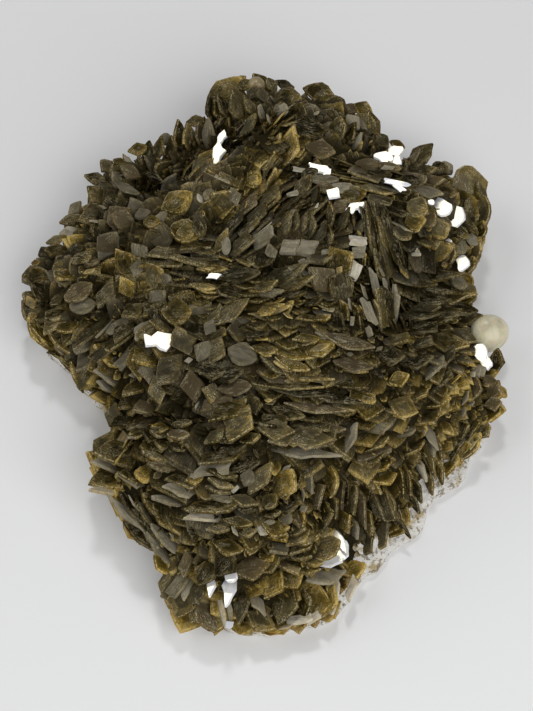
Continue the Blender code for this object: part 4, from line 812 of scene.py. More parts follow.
        (32, -21.8, 4.4, 0.9, 118), (27.4, -34.2, 4.4, 0.8, 125)], olive=[(28.2, -24.4, 6.6, 1.2, 105)],
        light=[(34.4, -18, 6, 1, 108), (32.6, -25, 5.2, 1.4, 105), (25.2, -29.4, 4.8, 1, 108)],
        gold=[(32.2, -19.6, 8.4, 1.6, 112), (34.6, -22.8, 5.6, 1.2, 105), (26.6, -24, 7, 1.4, 105),
        (31, -31.6, 5.6, 2, 103)], brown=[(25.6, -31.6, 3.8, 1, 105)], silver=[(33, -17, 6, 1.5, 104),
        (35.2, -22.6, 4.4, 0.5, 100), (27.2, -24, 5.8, 0.4, 103), (32.2, -31.6, 4.6, 0.8, 98),
        (29.2, -34.4, 3.6, 0.7, 128)], cream=[(31.4, -15, 2.4, 0.7, 108), (30.8, -22.2, 5.6, 1.1, 116)])),
    ("leaning bars", 1, 2, 1, "edge", dict(dark=[(37.6, -19.2, 3.2, 1.2, 60), (39.4, -14.6, 3.6, 1.6, 66)],
        olive=[(41, -15.6, 5.2, 0.8, 56), (29.4, -18.8, 4.6, 1.2, 22)], light=[(32.2, -12.8, 4.6, 1.9, 5)],
        gold=[(38.6, -22.8, 4.4, 0.9, 42), (37.2, -21.8, 4.4, 1.3, 48), (39.4, -19.8, 4.6, 1.2, 58)],
        grey=[(27.4, -15.6, 4.8, 1.2, 5)], silver=[(38.8, -17.8, 3.2, 0.6, 44)])),
    ("bottom left bars", 1, 3, 1, "edge", dict(olive=[(-18.4, -45.4, 6.6, 1.4, 60)],
        light=[(-19.6, -44.6, 6, 1.9, 58)], brown=[(-16, -41.6, 4.6, 1.6, 66)],
        grey=[(-16.9, -45, 6.6, 2, 54)], silver=[(-18.2, -47.2, 5, 0.8, 60), (-15.6, -46.4, 4.4, 0.9, 62)])),
    ("bottom flashes", 1, 6.4, 0.9, "leaf", dict(flash=[(-10.9, -45.9, 4.4, 1.3, 84),
        (-7.2, -46.6, 8, 1.9, 80), (-6.8, -44.4, 2.8, 1.8, 55), (-7.4, -53.9, 1.8, 1.3, 40)])),
    ("bottom petals", 1, 4.4, 1, "leaf", dict(dark=[(-8.1, -41.8, 5, 4, 50), (-12, -43.6, 4.6, 3.7, 60),
        (-4.9, -49.4, 7.4, 2.6, 85), (-13.6, -47.4, 5, 2.4, 70)], olive=[(-14.1, -50, 6, 2.6, 80),
        (3.8, -49.6, 7.2, 4.4, 75), (7.3, -49.1, 6.4, 3, 100), (-7.7, -38.5, 5.5, 2.8, -10),
        (7.5, -36.7, 5, 2.8, 10), (0.4, -42, 4.6, 3, 30)], light=[(-16.6, -49.4, 5.4, 4.8, 70),
        (-1.2, -53.2, 5.2, 3.9, -30), (16.3, -49.4, 2.8, 1.8, 80)], gold=[(-9.5, -52.9, 5, 3, 70),
        (1.5, -45.9, 5.4, 3.4, 60), (10, -49.2, 5.8, 5.2, 80), (12.8, -49.1, 5.6, 2.4, 70),
        (5.2, -45, 4.2, 3.4, 30), (17.6, -42.9, 4.4, 3, 20), (1.5, -34.9, 4.4, 2.8, -20)],
        brown=[(-12, -52, 6.6, 4.1, -66), (-3.1, -42.7, 6.2, 4.2, 10)], silver=[(-1.9, -49.6, 4.4, 1.8, -60),
        (-7.4, -51, 5.6, 0.7, 100)], cream=[(-9, -50.3, 7.4, 0.8, 105)])),
    ("crescent flash", 1, 5.2, 0.8, "round", dict(light=[(11.6, -38.6, 6.2, 4.2, 22)],
        flash=[(15, -37.2, 4.6, 1.6, 112), (15, -39.4, 4.4, 2.4, 70), (12.6, -41.4, 4.6, 1.8, 14)])),
    ("blocks lower right", 1, 2.6, 1.4, "edge", dict(dark=[(5.6, -40.4, 6, 0.9, -8)],
        olive=[(6.6, -42.6, 6.4, 1.6, -18), (7, -38.4, 4.8, 1.5, 20)], light=[(11.4, -38.5, 5.4, 4, 24),
        (6.4, -36.6, 4.4, 2, 10), (8.6, -41.4, 4.6, 1, -20)], gold=[(1.8, -36.4, 4.6, 1.1, -14),
        (0.4, -40.6, 2.6, 1.2, 10)], brown=[(3.2, -42, 6.4, 1, -24)], grey=[(2.4, -38.8, 3.4, 1.6, -5)],
        silver=[(12, -44.3, 5.6, 2.5, -6)])),
    ("slab over the petals", 1, 4.8, 1, "slant", dict(silver=[(11.4, -44.3, 6.4, 2.8, -5)])),
    ("crust on the petals", 1, 4.6, 0.6, "edge", dict(white=[(6.6, -53, 4.2, 1.5, 6),
        (13.7, -48.5, 5.5, 1, 80), (17, -46.8, 4.1, 1.2, 65), (3.8, -54.4, 2.8, 0.7, 5),
        (9.4, -52.6, 2.6, 1.2, 30)])),
    ("dark lamellae right", 1, 3, 0.8, "leaf", dict(dark=[(32.7, 13.1, 8.4, 1.8, -10),
        (31.9, 10.3, 8.4, 1.6, 5), (35.1, 9.1, 8.4, 1.6, -5), (30.3, 7.9, 7.6, 1.5, 2)],
        olive=[(33.9, 15.9, 10.4, 2, 0), (36.7, 11.1, 6.2, 1.6, 10), (30.7, 14.3, 6, 1.4, -4)])),
    ("dark band", 1, 3, 0.9, "leaf", dict(dark=[(-5.8, 16, 8.4, 2.5, 5), (2.5, 16, 11.5, 3, 25),
        (-10.9, -3.3, 5.4, 3, 0), (-8.1, -4.2, 5.8, 3.2, 8)], olive=[(4.3, 14.2, 9.2, 2.4, 20),
        (4.3, -11.6, 5.8, 2.5, -15), (-4.9, -8.8, 6.2, 3, -5)], light=[(1.8, -15, 6.4, 3.3, -5)],
        grey=[(-12.5, 0.9, 3.8, 3.2, 60)])),
    ("golden ribbons", 1, 3.6, 0.5, "leaf", dict(light=[(-7.2, 9.1, 8, 3, 35), (0.6, 8.1, 6.4, 0.9, -8)],
        gold=[(-10.9, 17.2, 5.4, 1.5, 0), (-11.8, 13.5, 6.4, 1.7, -10), (-1.7, 10.1, 9.6, 1.9, 5),
        (3.6, 9.8, 4.8, 1.9, 45)])),
    ("golden field", 1, 3.6, 0.6, "leaf", dict(light=[(2.5, -1.5, 7, 2.8, -25), (8, -16.4, 8.8, 4.2, -5),
        (3.4, -2.6, 3.6, 0.8, -25), (8.4, 2.4, 3, 0.6, 20)], gold=[(5.2, 0.9, 9.2, 2.5, -8),
        (10.7, 1.3, 5.8, 3, 15), (-0.3, 1.5, 5, 2, -5), (5.2, -1.9, 6.6, 2, -15)])),
    ("great flash", 1, 4.4, 0.9, "edge", dict(flash=[(-21, 2.7, 4.2, 2.9, -14), (-23.3, 3, 2.4, 2.2, 20)])),
    ("blocks left", 1, 3.4, 1.2, "slant", dict(light=[(-16.4, 2.9, 4.4, 4, 75), (-10, 1.1, 4, 3.2, 30),
        (-19.4, -3.1, 5.6, 4.4, 12)], gold=[(-7.7, -11.1, 6.6, 2.8, 5), (-5.4, -13.9, 6.6, 3.8, 33)],
        brown=[(-14.6, -6, 4.4, 3.6, 60), (11.4, 15.1, 5.4, 4.2, -75)])),
    ("rounded centre", 1, 3.4, 1, "round", dict(gold=[(-18, 8.5, 5.2, 4.6, 0)],
        brown=[(-6.3, -6.5, 5.6, 2.9, 5)], grey=[(-4.9, 0.4, 5.2, 3.8, -20)])),
    ("strata middle", 1, 3.2, 0.5, "leaf", dict(dark=[(12.6, -8.3, 12, 1.8, -8), (6.4, -7.4, 10, 1.5, -4)],
        olive=[(4.3, -6.3, 11.5, 0.9, -2), (15.6, -6, 8, 1.2, -6)], light=[(8, -4.7, 9, 0.8, -3),
        (17.6, -3.2, 4.6, 0.7, -8)], brown=[(9.8, -10.6, 11, 1.7, -5), (16.3, 2.7, 9.2, 2.4, -15),
        (17.2, -1.9, 6.9, 2.8, -5)], grey=[(12.6, 3.6, 5.4, 0.6, -15), (16.7, 0.2, 1.5, 0.8, -5)])),
    ("upright stack", 1, 3.4, 0.9, "edge", dict(dark=[(23, 23.3, 13.6, 1.5, -77),
        (25.7, 21.5, 9.2, 1.3, -72), (20.2, 25.6, 7, 1.4, -80)], olive=[(21.3, 23.5, 12.4, 1.4, -83),
        (24.5, 24.5, 10.4, 1.7, -70), (24.1, 10.1, 6.8, 2, -85), (14.7, 13.1, 6, 3.6, -80),
        (22.6, 18, 6.4, 1.4, -80)], gold=[(23.7, 21.9, 11, 0.8, -77), (26.8, 18.6, 6, 0.8, -74),
        (22.9, 9.5, 7, 1.2, -80)])),
    ("slivers", 1, 3.9, 0.6, "edge", dict(silver=[(21.6, 14.4, 5.8, 1, -78), (23, 16.7, 2.4, 0.5, -65),
        (23.7, 14.2, 2.8, 0.9, -82), (25.7, 9.9, 6.6, 1.3, 82), (20.4, 8.8, 5.4, 1.4, -68),
        (19.5, 12.7, 3.4, 0.6, -75)], cream=[(16.6, 10.3, 2.6, 0.5, -85), (17.2, 6.9, 2, 0.7, 85)])),
    ("pale plates", 1, 3.6, 0.9, "edge", dict(gold=[(14.9, 18.9, 4.2, 4.2, 80)],
        silver=[(18.5, 20.5, 2.6, 1.6, 4)], white=[(17.4, 17.1, 3.2, 2.5, 62), (18.3, 22.7, 3.2, 1.6, -5)])),
    ("grey lens", 1, 3.3, 0.8, "leaf", dict(silver=[(7, -19.4, 12.4, 2.2, -4),
        (17.1, -16.3, 5.4, 1.6, 68)])),
    ("field over the lens", 1, 3.9, 0.7, "slant", dict(light=[(7.6, -16.4, 5.6, 3, -8),
        (3, -16.6, 4.6, 2.4, -12), (11.8, -17, 4.4, 2.2, 14)], cream=[(6.2, -17.4, 2.4, 0.8, -20),
        (9.4, -16, 2, 0.6, 15)])),
    ("flashes upper right", 1, 3.4, 0.8, "round", dict(flash=[(23.4, 39.4, 3.4, 1.9, -18),
        (26, 40.6, 2.7, 1.9, 20), (26, 38.8, 2.2, 1.5, 60), (35.2, 29.4, 3.6, 3.4, 20),
        (37.8, 27.7, 4.6, 3.1, 80), (32.9, 30.6, 1.3, 1, -40), (39.4, 18.5, 3.8, 1.9, 78),
        (36.5, 22.8, 1.1, 0.7, 0)])),
    ("streaks upper right", 1, 3.6, 0.6, "edge", dict(cream=[(24.3, 37.5, 3, 0.9, -4)],
        white=[(29.6, 20.2, 3, 0.7, -6), (30.2, 20.7, 1.4, 0.9, 60)], flash=[(26, 34.5, 4, 0.7, -12),
        (26.6, 33.5, 2.4, 0.8, -48), (18, 29.7, 3.6, 1, 8), (17.2, 29.2, 1.6, 0.9, 60),
        (18.9, 29, 1.4, 0.8, -60)])),
    ("speckled shells", 1, 3, 1.1, "round", dict(light=[(30.1, 29.4, 3.9, 3.6, -20),
        (34.3, 25.2, 3.8, 3.6, -60), (26.9, 24.3, 3.8, 1.9, -30)], gold=[(29.7, 26.6, 3.6, 3.2, 10)],
        brown=[(38.9, 33.6, 5, 3.4, -75), (32.4, 27, 3.2, 2.8, 30)])),
    ("gully flashes", 1, 2.6, 0.7, "edge", dict(flash=[(-8.9, 43.5, 3, 1, 52), (-9.5, 40.6, 3.6, 1.7, 62),
        (-10.2, 39, 1.8, 1.2, 20)])),
    ("top flashes", 1, 3, 0.7, "edge", dict(white=[(6.5, 37.1, 2.6, 0.9, -8)],
        flash=[(10.3, 37.2, 3.2, 1.3, -8), (12.2, 36.7, 1.4, 0.9, 10), (13.4, 32.2, 2, 1.5, 15)])),
    ("crest", 1, 3, 1, "leaf", dict(olive=[(-9.5, 48.9, 4.8, 2.2, -65)], light=[(-6.1, 49.3, 5.2, 2.2, -65)],
        gold=[(-7.4, 53.7, 6.4, 2.3, 25)], grey=[(2.6, 49.2, 2.4, 1.6, 30)],
        silver=[(-1.3, 48.3, 3, 0.6, -70), (0.4, 47.2, 2.4, 0.5, -70)])),
    ("grey tip", 1, 3.4, 1.2, "leaf", dict(light=[(1.4, 42.5, 6.4, 1.1, 62)], gold=[(4.6, 41.6, 7, 3.4, 76)],
        brown=[(10.8, 41, 5.2, 3.2, -10)], grey=[(5.2, 44.6, 2.6, 1.4, 70)])),
    ("broken patch", 1, 2.6, 0.5, "edge", dict(light=[(-9.8, 36.6, 4.6, 1.1, -28),
        (-7.2, 35.4, 4.6, 1.2, -22)], gold=[(-2.5, 35.3, 2.4, 2, 0)], grey=[(-6.4, 31.9, 2.6, 2, 70)],
        cream=[(-8.8, 35.2, 3.6, 0.6, -24)])),
    ("right edge faces", 1, 3.2, 1, "leaf", dict(dark=[(34.2, 7.4, 7.6, 2.2, 5), (31.3, 9, 6, 2, 8),
        (30, -1.2, 5.8, 2.8, 10), (24.8, -0.3, 4.8, 3.2, 0), (43.9, 4.1, 3.8, 2.2, -30),
        (46.1, -1.2, 4.6, 2.6, 82)], olive=[(36, 2.6, 7.4, 3.2, -12), (43.5, -15.3, 2.8, 2.4, 40)],
        light=[(39.3, 3.8, 5, 2.5, -22), (27.2, -10.5, 5.2, 3.8, -20)], gold=[(26.5, -4.9, 3.8, 2.6, 20),
        (34.5, -9.6, 4.6, 1.3, 20), (35.9, -14.6, 3.4, 1.6, -42), (41.3, -18.2, 5.6, 1.9, 56)],
        brown=[(41.8, -6.6, 4, 2.4, 80), (45.6, -6.9, 3.6, 2.2, 62), (45.4, -9.8, 3, 2.3, 10)],
        silver=[(42.9, -3.2, 1.9, 1.9, 30), (39.9, -8.5, 3.2, 0.9, 65), (39.5, -11.2, 2.2, 0.9, 80),
        (32.7, -16, 4.8, 1.2, -65)], white=[(41.3, -3.8, 1.4, 1.3, 40)])),
    ("upper teeth left", 1, 3, 1, "leaf", dict(olive=[(-34.1, 35.2, 4.2, 2, -15)],
        light=[(-34.6, 28.6, 4.4, 2.8, -20)], gold=[(-33.9, 31.9, 4.6, 2.9, -42),
        (-17.8, 30.1, 4.6, 3.2, 30), (-15.9, 24.6, 3.8, 2.6, 10)], brown=[(-27.3, 36.5, 3.8, 2.4, -30),
        (-28.8, 27, 4.4, 3.6, -20), (-31.7, 22.2, 4.4, 3.8, 40)], grey=[(-28.2, 33.4, 5, 1.3, -25),
        (-24.7, 28.1, 2.8, 2, 20)], cream=[(-33.6, 33.8, 3.6, 0.4, -20), (-32.6, 29.6, 2.2, 0.4, -25),
        (-34, 26.8, 3, 0.4, -5), (-39.3, 24.4, 2.6, 1.6, -10)])),
    ("left bars and faces", 1, 3, 1.1, "edge", dict(dark=[(-34.8, 4.8, 8.4, 1.5, 38),
        (-31.4, 1.6, 7.4, 1.6, 40)], olive=[(-32.1, 12.3, 5.4, 2, 45), (-26.6, 8.8, 3.8, 2.2, 0),
        (-23.3, 9, 2.4, 2.2, 4), (-36.8, 19.4, 4, 1.6, 5), (-29, 3.4, 7, 1.6, 36)],
        gold=[(-28, 18.7, 4, 2.6, 88), (-27.7, 13.6, 3.6, 2.6, 86), (-40.3, 16, 4, 1.9, 0),
        (-44.9, 4.4, 6, 1.9, -50)], grey=[(-21.8, 11.6, 2.2, 2, 0)])),
    ("left shells", 1, 2.8, 1.1, "round", dict(olive=[(-42, 8.1, 4.4, 2.2, 20), (-46.2, 15.4, 4, 3.2, 10)],
        light=[(-22.9, 4.6, 5.4, 2.7, 12)], gold=[(-39.6, 5.7, 4.4, 2.4, 15), (-47.1, 10.1, 3.2, 2.4, 80)],
        brown=[(-37.6, 12.5, 5.4, 2.9, 30), (-17.4, 3.4, 3.6, 3, -60)], grey=[(-36.8, 9.8, 4.6, 2.7, 10),
        (-29.5, 5.7, 4.6, 2, 30)])),
    ("top faces", 1, 4, 1, "round", dict(dark=[(8.5, 45.2, 6, 3.4, -10), (-0.6, 51.4, 2.6, 1.6, 80)],
        olive=[(3.8, 51.4, 3.6, 3, 30), (6.9, 48.6, 3.4, 2, 82), (14.4, 45.2, 4.4, 2.6, 75)],
        cream=[(10, 48.4, 1.4, 0.5, 30)])),
    ("blades at the knob", 1, 7, 1, "leaf", dict(dark=[(-2.7, 52.3, 2.8, 1.9, 60),
        (-1, 51.9, 2.8, 1.8, -70)], olive=[(0.8, 54, 3, 2, -60), (-4.4, 54, 3, 1.9, 30)])),
    ("honey bits middle", 1, 4.2, 0.4, "leaf", dict(amber=[(-10.9, 17.2, 3.2, 0.9, 0),
        (-12.3, 13.5, 3.2, 1, -8), (2.5, 9.8, 4.6, 0.8, 20), (-1.7, 8.7, 4.2, 0.7, -5),
        (4.3, 8.4, 2.4, 0.7, -30), (10.7, 1.4, 3.8, 1.2, 20), (3.4, -2.1, 4, 0.9, -20),
        (-0.3, 0.4, 2.8, 0.8, -15), (0.4, -9, 1.8, 0.8, 0)])),
    ("honey bits edge", 1, 3.8, 0.6, "edge", dict(amber=[(41.5, -17.3, 3, 1.3, 50),
        (38.3, -22.1, 5, 1.2, 52), (17.9, -42.9, 2.8, 1.5, 30), (30.7, -32.5, 3.2, 1.3, -70),
        (-35.4, 16.8, 2.6, 0.8, 5), (-47, 10.6, 2, 1.6, 80), (14.6, 17, 1.6, 1.3, 20),
        (30.9, 29.2, 1.4, 1.1, 0), (30.2, 25.2, 1.5, 1, 20), (-2.5, 35.2, 1.8, 1.5, 10)])),
    ("notch right", 1, 2.4, 1, "leaf", dict(dark=[(38.6, 9.2, 6.6, 2.2, -4), (39.8, 7.2, 6.6, 2, 8)],
        olive=[(38.9, 12.8, 5.4, 2.6, -12), (39.6, 11, 4.4, 2, 0)], gold=[(39.8, 14.8, 4, 2.4, -60)],
        brown=[(40.4, 12.9, 3.6, 2.4, -50)])),
)


def facing_lamp(middle):
    """Face directions that mirror the window lamp to the camera, at the given places."""
    return unit(unit(EYE - middle) + unit(TO_KEY * KEY_AWAY - middle))


def with_face(blades, face):
    """Blades with the given faces: their axes are laid upon them."""
    blades["face"] = face
    for key in ("along", "across"):
        blades[key] = upon_face(blades[key], face)
    blades["back"] = unit(upon_face(blades["back"], face))
    return blades


def turned_from_flash(blades):
    """Faces that would mirror the lamp are tipped away from it, until FLASH_CLEAR lies between."""
    flash = facing_lamp(blades["middle"])
    cosine = dot(blades["face"], flash)
    limit = math.cos(math.radians(FLASH_CLEAR))
    away = unit(blades["face"] - cosine * flash + 1e-6)
    tipped = flash * limit + away * math.sin(math.radians(FLASH_CLEAR))
    near = (cosine > limit) & (blades["steady"][:, None] < 0.5)
    return with_face(blades, np.where(near, tipped, blades["face"]))


def stacked(rng, blades):
    """Each blade as one or two plates: split through its thickness, each shifted and turned a little."""
    count = np.where(blades["thick"] > SPLIT_FROM, 2, 1)
    count = np.where(blades["steady"] > 0.5, 1, count)
    owner = np.repeat(np.arange(len(count)), count)
    layer = np.arange(len(owner)) - np.repeat(np.cumsum(count) - count, count)
    share = (layer + 0.5) / count[owner] - 0.5
    own = rng.normal(size=(7, len(owner), 1)) * (count[owner] > 1)[None, :, None]
    plates = kept(blades, owner)
    shift = plates["face"] * (share * plates["thick"])[:, None]
    shift = shift + plates["back"] * (STEP * layer[:, None] - SHIFT_BACK * own[0])
    plates["middle"] = plates["middle"] + (shift + unit(plates["across"]) * SHIFT_ASIDE * own[1])
    lean = LEAN * own[2] * unit(plates["along"]) + LEAN * own[3] * unit(plates["across"])
    plates = with_face(plates, unit(plates["face"] + lean))
    twist = TWIST * own[4]
    along, across = plates["along"], plates["across"]
    half_long, half_wide = lengths(along), lengths(across)
    plates["along"] = (along + twist * across * half_long / half_wide) * (0.97 + RESIZE * own[5])
    plates["across"] = (across - twist * along * half_wide / half_long) * (0.97 + RESIZE * own[6])
    plates["thick"] = PLATE_THICK * plates["thick"] / count[owner]
    plates["tint"] = np.clip(plates["tint"] + RETINT * own[0][:, 0], 0, 1)
    return plates


def plate_points(plates, rng, corners, rings):
    """Points of all plates at once, as plate by ring by corner, with the poles behind them.

    Corner k of a ring lies on a four-sided outline whose sides bulge by its form's share of 4f(1 - f), f
    along the side, times the ring's share and a little wear. The upper rings are shifted back by SKEW
    thicknesses, the upper face swells, and the whole plate is curved like a saddle, up along its length
    and down across it.
    """
    count = len(plates["thick"])
    side, part = np.divmod(np.arange(corners) * 4.0 / corners, 1.0)
    forms = np.array(list(FORMS.values()))[plates["form"]]
    first, second = forms[:, :4].reshape(-1, 2, 2).transpose(1, 0, 2)
    ends = np.stack([first, second, -first, -second, first], axis=1)
    start, stop = ends[:, side.astype(int)], ends[:, side.astype(int) + 1]
    bulge = 1 + forms[:, 4][:, None, None] * 4.0 * (part * (1 - part))[:, None]
    outline = (start + (stop - start) * part[:, None]) * bulge
    s, t = outline[:, :, 0], outline[:, :, 1]
    torn = np.clip(2.0 * plates["grey"] - 1 + plates["pale"], 0, 1)
    rough = (WEAR + STEADY_WEAR * plates["steady"] + TORN_WEAR * torn)[:, None]
    wear = 1 + rough * rng.normal(size=(count, corners))
    wear[:, ::3] *= rng.uniform(0.92, 1.06, size=wear[:, ::3].shape)
    s, t = s * wear, t * wear
    shares, heights, shifts, marks = np.array(rings).T
    half_long, half_wide = lengths(plates["along"])[:, None], lengths(plates["across"])[:, None]
    thick = plates["thick"][:, None, None]
    bent = plates["steady"][:, None, None] < 0.5
    curl = (rng.normal(size=(count, 1, 1)) * CURL + CURL) * half_long * bent
    swell = SWELL * (half_long + half_wide) * bent
    along = shares[None, :, None] * s[:, None, :]
    across = shares[None, :, None] * t[:, None, :]
    lift = heights[None, :, None] * thick + curl * (along**2 - 0.7 * across**2)
    back = shifts[None, :, None] * SKEW * thick + 0 * along
    poles = np.array([[heights[0], 0.0], [heights[-1], 1.0]])
    pole_lift = poles[None, :, 0] * plates["thick"][:, None] + np.array([0.0, 1.0]) * swell[:, :, 0]
    pole_back = poles[None, :, 1] * SKEW * plates["thick"][:, None]
    flat = 0 * pole_lift
    along, across, lift, back = (
        np.concatenate([ring.reshape(count, -1), pole], axis=1)[:, :, None]
        for ring, pole in ((along, flat), (across, flat), (lift, pole_lift), (back, pole_back))
    )
    world = plates["middle"][:, None] + plates["along"][:, None] * along + plates["across"][:, None] * across
    world = world + plates["face"][:, None] * lift + plates["back"][:, None] * back
    local = np.concatenate([along * half_long, across * half_wide, lift], axis=2)
    mark = np.concatenate([np.repeat(marks, corners), POLE_MARKS])
    share = np.concatenate([np.repeat(shares, corners), [0.0, 0.0]])
    return local, within_box(world), np.tile(mark, (count, 1)), np.tile(share, (count, 1))


def within_box(points):
    """Points held inside the box of the solids."""
    return np.clip(points, np.array(cad_low) / MM + BOX_GAP, np.array(cad_high) / MM - BOX_GAP)


def bands_and_fans(count, rings, start, poles, flip):
    """Quads between rings of points, and a fan of triangles from each pole to the ring next to it.

    Point k of ring r has the index start + r * count + k. The poles are those of the first ring and of
    the last one. With flip the rings run downwards, and each face is wound the other way.
    """
    index = start + np.arange(count)
    follow = start + (np.arange(count) + 1) % count
    last = (rings - 1) * count
    quads = []
    for ring in range(rings - 1):
        low, high = ring * count, (ring + 1) * count
        corners = [low + index, low + follow, high + follow, high + index]
        quads.append(np.stack([corners[0]] + corners[:0:-1] if flip else corners, axis=1))
    first = [np.full(count, poles[0]), follow, index]
    final = [np.full(count, poles[1]), last + index, last + follow]
    fans = [np.stack([fan[0]] + fan[:0:-1] if flip else fan, axis=1) for fan in (first, final)]
    return np.concatenate(quads), np.concatenate(fans)


def mesh_object(name, points, quads, triangles, marks, material, smooth_angle=None):
    """Mesh from whole arrays of points and faces, in millimetres, with one attribute for each mark."""
    mesh = bpy.data.meshes.new(name)
    mesh.vertices.add(len(points))
    mesh.vertices.foreach_set("co", (np.asarray(points, dtype=np.float32) * MM).ravel())
    corners = np.concatenate([quads.ravel(), triangles.ravel()]).astype(np.int32)
    starts = np.concatenate([4 * np.arange(len(quads)), 4 * len(quads) + 3 * np.arange(len(triangles))])
    mesh.loops.add(len(corners))
    mesh.loops.foreach_set("vertex_index", corners)
    mesh.polygons.add(len(starts))
    mesh.polygons.foreach_set("loop_start", starts.astype(np.int32))
    mesh.update(calc_edges=True)
    mesh.validate()
    for key, values in marks.items():
        kind, slot = ("FLOAT_VECTOR", "vector") if values.ndim == 2 else ("FLOAT", "value")
        attribute = mesh.attributes.new(key, kind, "POINT")
        attribute.data.foreach_set(slot, np.asarray(values, dtype=np.float32).ravel())
    mesh.shade_smooth()
    if smooth_angle:
        mesh.set_sharp_from_angle(angle=math.radians(smooth_angle))
    mesh.materials.append(material)
    return placed(name, mesh)


def placed(name, data):
    """Object of a mesh, lamp or camera, linked to the scene."""
    item = bpy.data.objects.new(name, data)
    bpy.context.scene.collection.objects.link(item)
    return item


def plate_object(name, plates, rng, material, corners=CORNERS, rings=PLATE_RINGS):
    """One piece of many plates. Its marks are the place on the plate, its rim, and the blade's look.

    The mark "open" grows from 0 to 1 with the height over the bed, and toward the free tips of the rim; where
    it is low, the blades get painted shade.
    """
    local, world, mark, share = plate_points(plates, rng, corners, rings)
    poles = (len(rings) * corners, len(rings) * corners + 1)
    quads, fans = bands_and_fans(corners, len(rings), 0, poles, False)
    count, size = world.shape[:2]
    step = (np.arange(count) * size)[:, None, None]
    shift = rng.uniform(0.0, 60.0, size=(count, 1, 3))
    x, y = plates["middle"][:, :2].T
    over = np.sum((world - bed_points(x, y)[:, None]) * bed_normal(x, y)[:, None], axis=2)
    open_share = np.clip((over - OPEN_FROM) / (OPEN_TO - OPEN_FROM), 0, 1)
    half = np.concatenate([lengths(plates["along"]), lengths(plates["across"]), np.ones((count, 1))], axis=1)
    spot = local / half[:, None]
    free_share = plates["free"][:, None] * np.clip(0.55 + spot[:, :, 0], 0, 1)
    look = np.stack([plates[key] for key in ("tint", "grey", "brown")], axis=1)
    marks = {
        "place": (local + shift).reshape(-1, 3), "rim": mark.ravel(), "share": share.ravel(),
        "spot": spot.reshape(-1, 3), "open": np.maximum(open_share, free_share).ravel(),
        "look": np.repeat(look, size, axis=0), "pale": np.repeat(plates["pale"], size),
        "matt": np.repeat(plates["matt"], size),
    }
    return mesh_object(
        name, world.reshape(-1, 3), (quads[None] + step).reshape(-1, 4), (fans[None] + step).reshape(-1, 3),
        marks, material, SHARP_ANGLE,
    )


# Materials

# Linear colours of the blades, from the darkest tint to the lightest, then those of their brown film, golden
# veins and painted light: rim glow, grey sheen, pale glints, flash white, sparkles and gap shade.
BODY_STOPS = (
    (0.0, (0.0060, 0.0042, 0.0010)), (0.23, (0.021, 0.0148, 0.0030)), (0.42, (0.054, 0.0385, 0.0074)),
    (0.62, (0.118, 0.081, 0.014)), (0.78, (0.24, 0.160, 0.026)), (1.0, (0.52, 0.36, 0.08)),
)
BROWN_FILM = (0.085, 0.056, 0.026)
PAINTED_RIM_GLOW = (0.62, 0.52, 0.29)
PAINTED_GREY_SHEEN = (0.22, 0.198, 0.142)
PAINTED_PALE_GLINT = (0.66, 0.61, 0.50)
PAINTED_FLASH_WHITE = (0.90, 0.90, 0.94)
VEIN_GOLD = (0.42, 0.37, 0.24)
PAINTED_SPARKLE_CREAM = (0.56, 0.52, 0.42)
PAINTED_GAP_SHADE = (0.013, 0.010, 0.0036)
GLEAM = (1.0, 0.88, 0.52)
GROUND_DARK, GROUND_LIGHT = (0.012, 0.009, 0.003), (0.050, 0.037, 0.010)
ROCK_WHITE, ROCK_STAIN = (1.0, 0.97, 0.90), (0.56, 0.44, 0.22)
ROCK_GRAIN, ROCK_CRACK = (0.16, 0.12, 0.05), (0.22, 0.17, 0.10)
# Floor colours: the near one lighter as painted light, the far one darker as painted shade
FLOOR_NEAR_PAINTED_LIGHT, FLOOR_FAR_PAINTED_SHADE = (0.865, 0.87, 0.875), (0.75, 0.75, 0.755)
CREAM, BROWN_CREAM = (0.66, 0.61, 0.43), (0.30, 0.24, 0.12)  # the two rounded crystals


class Value:
    """A number in a node tree: arithmetic on it adds Math nodes."""

    def __init__(self, finish, socket):
        self.finish, self.socket = finish, socket

    def math(self, operation, *others):
        """This number and the others, joined by one operation."""
        return self.finish.arithmetic(operation, self, *others)

    def __add__(self, other):
        return self.math("ADD", other)

    def __sub__(self, other):
        return self.math("SUBTRACT", other)

    def __rsub__(self, other):
        return self.finish.arithmetic("SUBTRACT", other, self)

    def __mul__(self, other):
        return self.math("MULTIPLY", other)

    __radd__, __rmul__ = __add__, __mul__

    def between(self, low, high):
        """Smooth step: 0 below low and 1 above high."""
        values = {0: self, 1: low, 2: high}
        return self.finish.node("ShaderNodeMapRange", {"interpolation_type": "SMOOTHSTEP"}, values)


